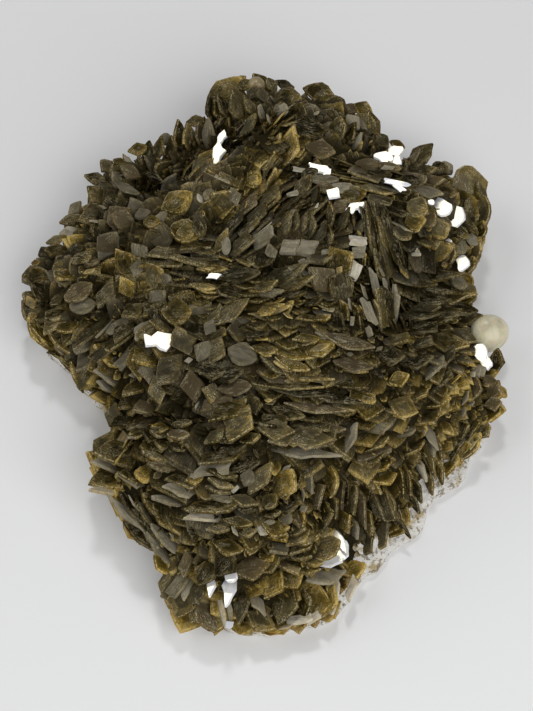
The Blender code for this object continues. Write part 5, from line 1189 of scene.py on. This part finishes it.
class Finish:
    """A material and the one way that nodes are added to it."""

    def __init__(self, name):
        self.material = bpy.data.materials.new(name)
        self.material.use_nodes = True
        self.tree = self.material.node_tree
        self.shader = self.tree.nodes["Principled BSDF"]

    def node(self, kind, settings=None, values=None, output=0):
        """Add a node: its settings are set first, then its sockets' values or links."""
        item = self.tree.nodes.new(kind)
        for key, setting in (settings or {}).items():
            setattr(item, key, setting)
        for key, value in (values or {}).items():
            self.feed(item.inputs[key], value)
        return Value(self, item.outputs[output])

    def feed(self, socket, value):
        """Link a number to a socket, or set a plain value or colour on it."""
        if isinstance(value, Value):
            self.tree.links.new(value.socket, socket)
        elif isinstance(value, tuple) and socket.type == "RGBA":
            socket.default_value = (*value, 1.0)
        else:
            socket.default_value = value

    def arithmetic(self, operation, *numbers):
        """One Math node."""
        return self.node("ShaderNodeMath", {"operation": operation}, dict(enumerate(numbers)))

    def ramp(self, stops, level):
        """Colour that goes through the stops as the level grows."""
        body = self.node("ShaderNodeValToRGB", None, {0: level})
        elements = body.socket.node.color_ramp.elements
        while len(elements) < len(stops):
            elements.new(1.0)
        for element, (place, colour) in zip(elements, stops):
            element.position = place
            element.color = (*colour, 1.0)
        return body

    def attribute(self, name, output="Fac"):
        """A mark of the mesh."""
        return self.node("ShaderNodeAttribute", {"attribute_name": name}, output=output)

    def parts(self, vector):
        """The three numbers of a vector."""
        x = self.node("ShaderNodeSeparateXYZ", None, {0: vector})
        return [Value(self, socket) for socket in x.socket.node.outputs]

    def mix(self, first, second, factor):
        """Colour that goes from first to second as the factor goes from 0 to 1."""
        settings = {"data_type": "RGBA", "clamp_factor": True}
        return self.node("ShaderNodeMix", settings, {0: factor, 6: first, 7: second}, output=2)

    def noise(self, place, scale, detail=3.0, rough=0.6, kind="3D"):
        """Noise in space, or for kind 1D bands across the way in which a number grows."""
        values = {"W" if kind == "1D" else "Vector": place, "Scale": scale, "Detail": detail}
        return self.node("ShaderNodeTexNoise", {"noise_dimensions": kind}, {**values, "Roughness": rough})

    def stretched(self, vector, sizes):
        """The vector with each part times its size."""
        return self.node("ShaderNodeVectorMath", {"operation": "MULTIPLY"}, {0: vector, 1: sizes})

    def object_place(self):
        """Place on the object, in metres."""
        return self.node("ShaderNodeTexCoord", output="Object")

    def bump(self, height, depth, strength=1.0):
        """Normal of a relief that is depth high."""
        return self.node("ShaderNodeBump", None, {"Height": height, "Distance": depth, "Strength": strength})

    def darkened(self, colour, factor):
        """The surface gives way to a matt dark one as the factor goes from 0 to 1."""
        matt = self.node("ShaderNodeBsdfDiffuse", None, {"Color": colour})
        surface = Value(self, self.shader.outputs[0])
        both = self.node("ShaderNodeMixShader", None, {0: factor, 1: surface, 2: matt})
        self.tree.links.new(both.socket, self.tree.nodes["Material Output"].inputs["Surface"])

    def set(self, **values):
        """Feed the shader's sockets, named with underscores, and give the material."""
        for key, value in values.items():
            self.feed(self.shader.inputs[key.replace("_", " ")], value)
        return self.material


def siderite_finish():
    """Dark olive-brown blades: tint from blackish brown to gold, growth lines, a brown film, and painted
    light: a golden glow on the rims, grey sheen, pale glints, sparkles and a white flash.

    The level of the tint grows toward the outline, as a painted glow, and toward the tip, leaving painted
    shade at the buried end, and by noise: clouds, grain, layers along the blade and zones that follow its
    outline inwards. Deep gaps between the blades turn matt and dark, as painted shade.
    """
    finish = Finish("siderite")
    place = finish.attribute("place", "Vector")
    tint, grey, brown = finish.parts(finish.attribute("look", "Vector"))
    forward, sideways, _ = finish.parts(finish.attribute("spot", "Vector"))
    _, _, own = finish.parts(place)
    rim, share, pale, matt, open_share = (
        finish.attribute(name) for name in ("rim", "share", "pale", "matt", "open")
    )
    # gap: how deep a point lies between the blades; it drives the painted gap shade and raises the roughness
    # there
    gap = 1.0 - open_share
    # smooth: the flashing blades alone; they are glossier and painted white as a painted reflection of the
    # window lamp
    smooth_painted_flash = 1.0 - matt.between(0.14, 0.16)
    cloud = finish.noise(place, 0.35, 2.0)
    grain = finish.noise(place, 2.6, 3.0, 0.65)
    layers = finish.noise(finish.stretched(place, (0.22, 2.4, 2.4)), 1.0, 3.0, 0.6)
    inward = forward.math("ABSOLUTE") + sideways.math("ABSOLUTE")
    zones = finish.noise(inward * 3.2 + own, 1.0, 4.0, 0.75, "1D")
    # Painted sparkles: small cream specks for glints of light, kept out of the gaps
    painted_sparkle = finish.noise(place, 4.2, 1.0).between(0.64, 0.71) * cloud.between(0.46, 0.62)
    vein = finish.noise(finish.stretched(place, (0.30, 1.9, 1.9)), 1.0, 3.0, 0.7)
    vein = vein.between(0.50, 0.53) * (1.0 - vein.between(0.53, 0.56)) * cloud.between(0.40, 0.58)
    streak = finish.noise(finish.stretched(place, (0.3, 0.9, 0.7)), 1.0, 4.0, 0.65).between(0.36, 0.60)
    # Painted glow and shade: lighter toward the outline and the tip, darker at the buried end and a little on
    # one side
    painted_glow_and_shade = share.between(0.30, 1.0) * 0.24 + forward * 0.18 - sideways * 0.07
    level = tint + painted_glow_and_shade - 0.18 + (cloud - 0.5) * 0.9 + (grain - 0.5) * 0.85
    level = (level + (layers - 0.5) * 0.4 + (zones - 0.5) * 1.1) * 0.77
    # edge: painted golden glow along the upper rims of the plates, for light through their thin edges
    edge = rim.between(0.60, 1.0) * (0.08 + tint * 0.95).between(0.0, 1.0) * grain.between(0.45, 0.57)
    body = finish.ramp(BODY_STOPS, level)
    for colour, factor in (
        (BROWN_FILM, brown * 0.7),
        (PAINTED_RIM_GLOW, edge),
        # painted grey sheen, broken up by streaks
        (PAINTED_GREY_SHEEN, grey * (0.55 + streak * 0.45)),
        # painted pale glints, broken up by streaks
        (PAINTED_PALE_GLINT, pale * (0.5 + streak * 0.5)),
        # painted white flash over the blades that mirror the window lamp
        (PAINTED_FLASH_WHITE, smooth_painted_flash * 0.8),
        (VEIN_GOLD, vein * 0.55 * (1.0 - gap)),
        (PAINTED_SPARKLE_CREAM, painted_sparkle * (0.15 + tint.between(0.2, 0.6) * 0.75) * (1.0 - gap)),
    ):
        body = finish.mix(body, colour, factor)
    rough = matt * 0.7 + (grain - 0.5) * 0.25 * (1.0 - smooth_painted_flash) + gap * 0.3 - 0.04
    relief = (layers * 0.4 + grain * 0.3 + zones * 0.5 + cloud * 1.2) * (1.0 - smooth_painted_flash)
    finish.set(
        Base_Color=body, Roughness=rough.math("MAXIMUM", 0.08), IOR=1.50, Specular_IOR_Level=0.28,
        Specular_Tint=GLEAM, Normal=finish.bump(relief, 0.00012, 0.8),
        Subsurface_Weight=0.3, Subsurface_Radius=(1.0, 0.6, 0.2), Subsurface_Scale=0.0008,
    )
    # Painted shade: the deep gaps between the blades are mixed toward a matt dark brown
    finish.darkened(PAINTED_GAP_SHADE, gap * 0.75)
    return finish.material


def bed_finish():
    """Blackish brown ground between the blades, rough and grainy."""
    finish = Finish("crust_bed")
    grain = finish.noise(finish.object_place(), 900.0, 4.0, 0.7)
    body = finish.mix(GROUND_DARK, GROUND_LIGHT, grain.between(0.35, 0.75))
    return finish.set(
        Base_Color=body, Roughness=0.7, Specular_IOR_Level=0.1, Normal=finish.bump(grain, 0.0006),
    )


def matrix_finish():
    """White to cream granular rock, with brownish stains and glinting grains, and a faint painted glow, by
    emission, that lightens it all over.
    """
    finish = Finish("matrix")
    place = finish.object_place()
    grain = finish.noise(place, 1400.0, 5.0, 0.7)
    stain = finish.noise(place, 260.0, 4.0)
    crack = finish.noise(place, 700.0, 3.0)
    body = finish.mix(ROCK_WHITE, ROCK_STAIN, stain.between(0.50, 0.64) * 0.9)
    body = finish.mix(body, ROCK_GRAIN, grain.between(0.54, 0.62) * stain.between(0.40, 0.56))
    body = finish.mix(body, ROCK_CRACK, crack.between(0.55, 0.61) * 0.7)
    return finish.set(
        Base_Color=body, Roughness=0.35 + grain * 0.3, Normal=finish.bump(grain + crack, 0.0012),
        # painted glow: the rock's own colour, emitted faintly
        Emission_Color=body, Emission_Strength=0.12,
    )


def pale_finish(name, colour):
    """Waxy translucent crystal, cloudy between its colour and a darker one."""
    finish = Finish(name)
    place = finish.object_place()
    cloud = finish.noise(place, 260.0, 3.0)
    body = finish.mix(colour, tuple(0.72 * part for part in colour), cloud.between(0.4, 0.7))
    return finish.set(
        Base_Color=body, Roughness=0.25, Subsurface_Weight=0.3, Subsurface_Scale=0.002,
        Normal=finish.bump(finish.noise(place, 500.0, 3.0), 0.0003),
    )


def floor_finish():
    """Pale matt floor, painted a little brighter on the near side and darker on the far side, as painted
    light and shade.
    """
    finish = Finish("floor")
    _, depth, _ = finish.parts(finish.object_place())
    body = finish.mix(FLOOR_NEAR_PAINTED_LIGHT, FLOOR_FAR_PAINTED_SHADE, depth.between(-0.09, 0.09))
    return finish.set(Base_Color=body, Roughness=0.9)


# Pieces

BED_WAVES = ((6.0, 0.18), (2.4, 0.12), (1.3, 0.07))  # of the ground: length, height
ROCK_WAVES = ((4.0, 0.22), (1.9, 0.20), (1.0, 0.12))  # of the rock's upper side
OUTLINE_WAVES, SIDE_WAVES = ((9.0, 0.10), (4.0, 0.07)), ((7.0, 0.06), (3.0, 0.05))  # of its outline and edge
# Rings of the rock's upright edge, downwards: share of its height, how far they stand out.
ROCK_EDGE = ((0.8, 0.18), (0.6, 0.25), (0.4, 0.2), (0.2, 0.05), (0.05, -0.2))


def with_look(blades, rng, tint):
    """Fill in the tint and what the blades of a sheaf differ by."""
    count = len(blades["thick"])
    blades["tint"] = np.clip(tint + TINT_SPREAD * rng.normal(size=count), 0.03, 1.2)
    for key, (mean, spread, most) in FILMS_AND_PAINTED_SHEEN.items():
        blades[key] = np.clip(rng.normal(mean, spread, count), 0.0, most)
    blades["thick"] = THIN * blades["thick"]
    blades["matt"] = np.where(rng.uniform(size=count) < GLOSSY_SHARE, GLOSSY, DULL)
    blades["matt"] += rng.uniform(-MATT_SPREAD, MATT_SPREAD, count)
    blades["steady"] = np.zeros(count)
    blades["free"] = np.zeros(count)
    return blades


def sheaf_tint(x, y):
    """Tint of the sheaf that each place is in."""
    return np.array([row[9] for row in SHEAVES])[nearest_sheaf(x, y, sheaf_centres())]


def among_shown(x, y):
    """Whether each place is in a sheaf that shows its faces."""
    return np.array([row[0] in SHOWN for row in SHEAVES])[nearest_sheaf(x, y, sheaf_centres())]


def shown(blades):
    """Blades of the sheaves in SHOWN, larger and turned about their long way toward the camera."""
    x, y = blades["middle"][:, :2].T
    chosen = among_shown(x, y)[:, None]
    share = FACING * chosen
    axis = unit(blades["along"])
    sight = unit(upon_face(unit(EYE - blades["middle"]), axis))
    face = unit((1 - share) * blades["face"] + share * sight)
    growth = np.where(chosen, PETAL, 1.0)
    half_wide = lengths(blades["across"])
    blades["form"] = np.where(chosen[:, 0], FORM_PLACES["leaf"], blades["form"])
    blades["middle"] = blades["middle"] - PETAL_DROP * chosen * bed_normal(x, y)
    blades["face"] = face
    blades["back"] = unit(upon_face(blades["back"], face))
    blades["along"] = growth * blades["along"]
    blades["across"] = growth * half_wide * np.cross(face, axis)
    return blades


def single_blades(rng):
    """The single blades of SEEN, a little larger than seen, and higher one by one within a group and look.

    A blade with even diagonals that looks slender is tilted, by a share of the arc whose cosine is its
    width over its length, toward the side across its long direction. Flashes face the window lamp.
    """
    looks = {name: place for place, name in enumerate(LOOKS)}
    rows = [
        (*row, flip, lift + LIFT_STEP * place, thick, FORM_PLACES[form], looks[look])
        for _, flip, lift, thick, form, groups in SEEN
        for look, group in groups.items() for place, row in enumerate(group)
    ]
    u, w, long, wide, turn, flip, lift, thick, form, look = np.array(rows, dtype=float).T
    own = rng.normal(size=(6, len(u)))
    tilt = LEANS * np.degrees(np.arccos(np.clip(EVEN * wide / long, *SLENDER)))
    slip, flash = long * wide < SLIP, look == looks["flash"]
    growth = np.where(flash, FLASH_GROWTH, np.where(slip, 1.0, GROWTH))
    long, wide = growth * long, growth * wide
    lift = SINGLE_LIFT + LIFT_SHARE * lift + FLASH_LIFT * flash
    thick = np.where(slip, SLIP_THICK, SINGLE_THICK + THICK_SHARE * thick)
    form = np.where((form == FORM_PLACES["edge"]) & (own[5] > SLANT_FROM), FORM_PLACES["slant"], form)
    side = turn + 90.0 * flip + SIDE_JITTER * own[0]
    tilt = np.clip(tilt + TILT_JITTER * own[1], LEAST_TILT, MOST_TILT)
    lift = lift + HEIGHT_JITTER * own[2]
    blades = seen_blades(u, w, long, wide, turn, side, tilt, lift, thick, form.astype(int))
    for key, values in zip(("tint", "grey", "brown", "pale", "matt"), np.array(list(LOOKS.values())).T):
        blades[key] = values[look.astype(int)]
    x, y = blades["middle"][:, :2].T
    blades["steady"] = flash.astype(float)
    blades["free"] = np.zeros(len(u))
    blades["pale"] = blades["pale"] * np.where(long * wide < SLIP, SLIP_PALE, 1.0)
    local = sheaf_tint(x, y) - MEAN_TINT
    blades["tint"] = np.clip(blades["tint"] + TINT_JITTER * own[3] + SINGLE_TINT * local, 0.0, 1.4)
    blades = with_face(blades, np.where(flash[:, None], facing_lamp(blades["middle"]), blades["face"]))
    within = np.hypot(x, y) < tip_reach(direction(x, y)) + SINGLE_OUT
    return kept(blades, within)


def as_seen(points):
    """Places to the right and up from the middle of the view at which points are seen."""
    way = points - EYE
    way = way * (VIEW_AWAY / np.sum(way * -TO_VIEW, axis=1))[:, None]
    offset = EYE + way - VIEW_MIDDLE
    return offset @ VIEW_RIGHT, offset @ VIEW_UP


def sunk(blades, singles):
    """Blades that are seen behind a single blade are lowered, so that it stays in front."""
    u, w = as_seen(blades["middle"] + 0.3 * blades["along"])
    middle_u, middle_w = as_seen(singles["middle"])
    apart_u, apart_w = u[:, None] - middle_u, w[:, None] - middle_w
    long_u, long_w = singles["along"] @ VIEW_RIGHT, singles["along"] @ VIEW_UP
    wide_u, wide_w = singles["across"] @ VIEW_RIGHT, singles["across"] @ VIEW_UP
    area = long_u * wide_w - long_w * wide_u
    s = (apart_u * wide_w - apart_w * wide_u) / area
    t = (long_u * apart_w - long_w * apart_u) / area
    covered = (np.hypot(s, t) < SUNK_REACH).any(axis=1)
    drop = np.where(blades["free"] > 0.5, RIM_SUNK, SUNK) * covered
    blades["middle"] = blades["middle"] - bed_normal(*blades["middle"][:, :2].T) * drop[:, None]
    return blades


def small_blades(rng):
    """A second, finer growth of the sheaves, lower than the first, outside the sheaves in SHOWN."""
    rows = sheaf_blades(rng, SMALL)
    for key in ("length", "width", "thick"):
        rows[key] = rows[key] * SMALL
    rows = kept(rows, ~among_shown(rows["x"], rows["y"]))
    return with_look(placed_sheaves(rows, STAND - SMALL_DROP), rng, sheaf_tint(rows["x"], rows["y"]))


def all_blades(rng):
    """Blades of the sheaves, the rim, the finer growth and the single blades, as plates."""
    rows = sheaf_blades(rng)
    sheaves = with_look(placed_sheaves(rows), rng, sheaf_tint(rows["x"], rows["y"]))
    rim = rim_blades(rng)
    rim = with_look(rim, rng, RIM_TINT + sheaf_tint(*rim["middle"][:, :2].T))
    rim["free"] = np.ones(len(rim["thick"]))
    fillers = shown(joined([sheaves, over_ledge(rim), small_blades(rng)]))
    singles = single_blades(rng)
    blades = joined([sunk(fillers, singles), singles])
    return stacked(rng, below_top(turned_from_flash(blades)))


def over_ledge(rim):
    """Rim blades where the matrix juts out are moved outwards over it, to LEDGE_BARE from its edge."""
    degrees = direction(*rim["middle"][:, :2].T)
    ledge = np.clip(matrix_reach(degrees) - tip_reach(degrees) - LEDGE_BARE, 0.0, LEDGE_MOST)
    rim["middle"] = rim["middle"] + bearing(degrees) * ledge[:, None]
    return rim


def below_top(blades):
    """Blades that would rise out of the box of the solids are lowered into it."""
    reach = np.abs(blades["along"][:, 2]) + np.abs(blades["across"][:, 2]) + 0.7 * blades["thick"]
    over = blades["middle"][:, 2] + reach - (cad_high[2] / MM - TOP_GAP)
    blades["middle"][:, 2] -= np.clip(over, 0.0, None)
    return blades


def zone_of(middle):
    """Zone of a blade by the side it grows on: 0 far, 1 right, 2 near, 3 left, 4 middle."""
    x, y = middle[:, 0], middle[:, 1]
    sides = np.where(y > FAR_FROM, 0, np.where(y < NEAR_FROM, 2, np.where(x > RIGHT_FROM, 1, 3)))
    return np.where((np.abs(x) < MIDDLE_HALF[0]) & (np.abs(y - MIDDLE_Y) < MIDDLE_HALF[1]), 4, sides)


def flakes(rng, count):
    """Small thin plates that lie between the blades, near the bed, at many leans."""
    x, y = (rng.uniform(least, most, count) for least, most in FIELD)
    keep = np.hypot(x, y) < tip_reach(direction(x, y)) - FLAKE_INSET
    x, y = x[keep], y[keep]
    count = len(x)
    sheaf = nearest_sheaf(x, y, sheaf_centres())
    lean, rise = np.array([row[3:5] for row in SHEAVES], dtype=float)[sheaf].T
    normal = bed_normal(x, y)
    lean = lean + FLAKE_LEAN * rng.normal(size=count)
    face, tip_way = lean_over(normal, lean, rise + FLAKE_RISE * rng.normal(size=count))
    middle = bed_points(x, y) + normal * rng.uniform(*FLAKE_LIFT, count)[:, None]
    sizes = (rng.uniform(least, most, count) for least, most in FLAKE_SIZES)
    blades = blade_set(middle, face, tip_way, *sizes, np.full(count, FORM_PLACES["leaf"]))
    return with_look(blades, rng, sheaf_tint(x, y) + FLAKE_TINT * rng.normal(size=count))


def finished(item, node):
    """Say what a piece rides on and which node it replaces, by hiding that node."""
    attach(item, "root")
    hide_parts(node)
    return item


def polar_object(name, rings, top, bottom, material):
    """Closed form from rings of points round the middle, from the top's pole to the bottom's."""
    count = rings[0].shape[0]
    points = np.concatenate([np.array([top])] + rings + [np.array([bottom])])
    quads, fans = bands_and_fans(count, len(rings), 1, (0, len(points) - 1), True)
    return mesh_object(name, points, quads, fans, {}, material)


def ripple(x, y, seed, sizes):
    """Rough relief: a sum of waves of many directions, each as long and as high as it is given to be."""
    rng = np.random.default_rng(seed)
    height = np.zeros_like(x)
    for length, size in sizes:
        for _ in range(6):
            way, phase = rng.uniform(0, 2 * math.pi, 2)
            distance = x * math.cos(way) + y * math.sin(way)
            height = height + size * np.sin(distance * 2 * math.pi / length + phase)
    return height


def bed_piece(material):
    """Ground under the blades: rings at growing shares of its reach, as high as the bed, then a skirt."""
    degrees = np.arange(0, 360, 1.5)
    reach = bed_reach(degrees) - 0.3
    turn = np.radians(degrees)
    rings = []
    for share in np.concatenate([np.linspace(0.02, 0.96, 60), [1.0]]):
        x, y = share * reach * np.cos(turn), share * reach * np.sin(turn)
        rough = ripple(x, y, 3, BED_WAVES)
        rings.append(np.stack([x, y, bed_height(x, y) - BED_SUNK + rough], axis=-1))
    skirt = np.maximum(bed_edge(degrees) - BED_SKIRT, 1.4)
    for share, height in ((0.995, skirt + 1.2), (0.98, skirt), (0.88, skirt - 0.3), (0.7, skirt * 0 + 4.0)):
        rings.append(ring_at(share * reach, height, degrees))
    top = (0, 0, float(bed_height(np.array(0.0), np.array(0.0))) - BED_SUNK)
    return polar_object("crust_bed", rings, top, (0, 0, 6.0), material)


def matrix_piece(material):
    """Pale rock: rings that rise inwards under a rough relief, then its upright edge and flat underside."""
    degrees = np.arange(0, 360, 1.0)
    ragged = 0.35 * np.sin(np.radians(11 * degrees)) + 0.3 * np.sin(np.radians(23 * degrees) + 1.0)
    reach = matrix_reach(degrees) + ragged + ripple(degrees, 0 * degrees, 9, OUTLINE_WAVES)
    turn = np.radians(degrees)
    rings = []
    for share in np.linspace(0.4, 1.0, 40):
        x, y = share * reach * np.cos(turn), share * reach * np.sin(turn)
        crust = np.abs(ripple(x, y, 5, ROCK_WAVES)) * math.sin(math.pi * share) ** 0.3
        crust = crust * np.clip((12.0 - y) / 16.0, 0, 1) - 0.7 * np.clip((y - 4.0) / 12.0, 0, 1)
        rings.append(np.stack([x, y, matrix_surface(share, degrees) + crust], axis=-1))
    edge = matrix_surface(1.0, degrees)
    for share, out in ROCK_EDGE:
        radius = reach + out + ripple(degrees, share * 40 + 0 * degrees, 8, SIDE_WAVES)
        rings.append(ring_at(radius, share * edge, degrees))
    rings.append(ring_at(reach - 0.5, 0 * degrees, degrees))
    return polar_object("matrix_rock", rings, (0, 0, MATRIX_TOP), (0, 0, 0.0), material)


def egg_piece(name, place, material):
    """Rounded crystal: a ball stretched to its half sizes, tilted and turned, with a faint wobble."""
    middle, half, tilt, turn = place
    spin = np.radians(np.arange(0, 360, 6.0))
    rings = []
    for rise in np.radians(np.linspace(87, -87, 30)):
        level, height = math.cos(rise), np.full_like(spin, math.sin(rise))
        wobble = 0.98 + 0.02 * np.sin(3 * spin + 2) * level
        ball = np.stack([np.cos(spin) * level, np.sin(spin) * level, height], axis=-1)
        rings.append(ball * wobble[:, None])
    poles = [np.array([(0, 0, 1)]), np.array([(0, 0, -1)])]
    cos, sin = math.cos(math.radians(tilt)), math.sin(math.radians(tilt))
    tip = np.array([(1, 0, 0), (0, cos, sin), (0, -sin, cos)])
    cos, sin = math.cos(math.radians(turn)), math.sin(math.radians(turn))
    swing = np.array([(cos, sin, 0), (-sin, cos, 0), (0, 0, 1)])
    *rings, top, bottom = (ring * half @ tip @ swing + np.array(middle) for ring in rings + poles)
    return polar_object(name, rings, tuple(top[0]), tuple(bottom[0]), material)


# Stage

def stage():
    """Pale floor, soft lamps and the camera."""
    corners = [(x * FLOOR_HALF, y * FLOOR_HALF, 0) for x, y in ((-1, -1), (1, -1), (1, 1), (-1, 1))]
    mesh = bpy.data.meshes.new("floor")
    mesh.from_pydata(corners, [], [(0, 1, 2, 3)])
    mesh.materials.append(floor_finish())
    floor = placed("floor", mesh)
    world = bpy.data.worlds.new("room")
    world.use_nodes = True
    background = world.node_tree.nodes["Background"]
    background.inputs["Color"].default_value = (1.0, 1.0, 1.0, 1.0)
    background.inputs["Strength"].default_value = ROOM_LIGHT
    bpy.context.scene.world = world
    for name, way, away, size, watts in LAMPS:
        lamp(name, way, away, size, watts)
    camera = bpy.data.cameras.new("camera")
    camera.sensor_width = SENSOR
    camera.lens = camera.sensor_width / 2 * VIEW_AWAY / VIEW_HALF
    camera.clip_start, camera.clip_end = 0.01, 20.0
    item = placed("camera", camera)
    item.location = EYE * MM
    item.rotation_euler = (math.radians(90.0 - VIEW_RISE), 0.0, 0.0)
    bpy.context.scene.camera = item


def lamp(name, way, away, size, watts):
    """Round soft lamp that faces the specimen from the given direction, in metres."""
    light = bpy.data.lights.new(name, "AREA")
    light.shape = "DISK"
    light.size = size
    light.energy = watts
    item = placed(name, light)
    item.location = Vector(way) * away
    item.rotation_mode = "QUATERNION"
    item.rotation_quaternion = Vector(way).to_track_quat("Z", "Y")


def main():
    """All pieces, each on the node that it replaces, then the stage."""
    rng = np.random.default_rng(SEED)
    siderite = siderite_finish()
    plates = all_blades(rng)
    zone = zone_of(plates["middle"])
    zones = ("blades_far", "blades_right", "blades_near", "blades_left", "blades_middle")
    for index, name in enumerate(zones):
        item = plate_object(name, kept(plates, zone == index), rng, siderite)
        finished(item, "siderite_cluster")
    flake_object = plate_object("flakes", flakes(rng, FLAKES), rng, siderite, FLAKE_CORNERS, FLAKE_RINGS)
    finished(flake_object, "siderite_cluster")
    finished(bed_piece(bed_finish()), "siderite_cluster")
    finished(matrix_piece(matrix_finish()), "matrix")
    right = pale_finish("pale_crystal_finish", CREAM)
    finished(egg_piece("pale_ball_right", PALE_RIGHT, right), "pale_crystal_right")
    far = pale_finish("pale_crystal_far_finish", BROWN_CREAM)
    finished(egg_piece("pale_knob_top", PALE_TOP, far), "pale_crystal_top")
    stage()
    bpy.context.scene.view_settings.view_transform = "Standard"


main()
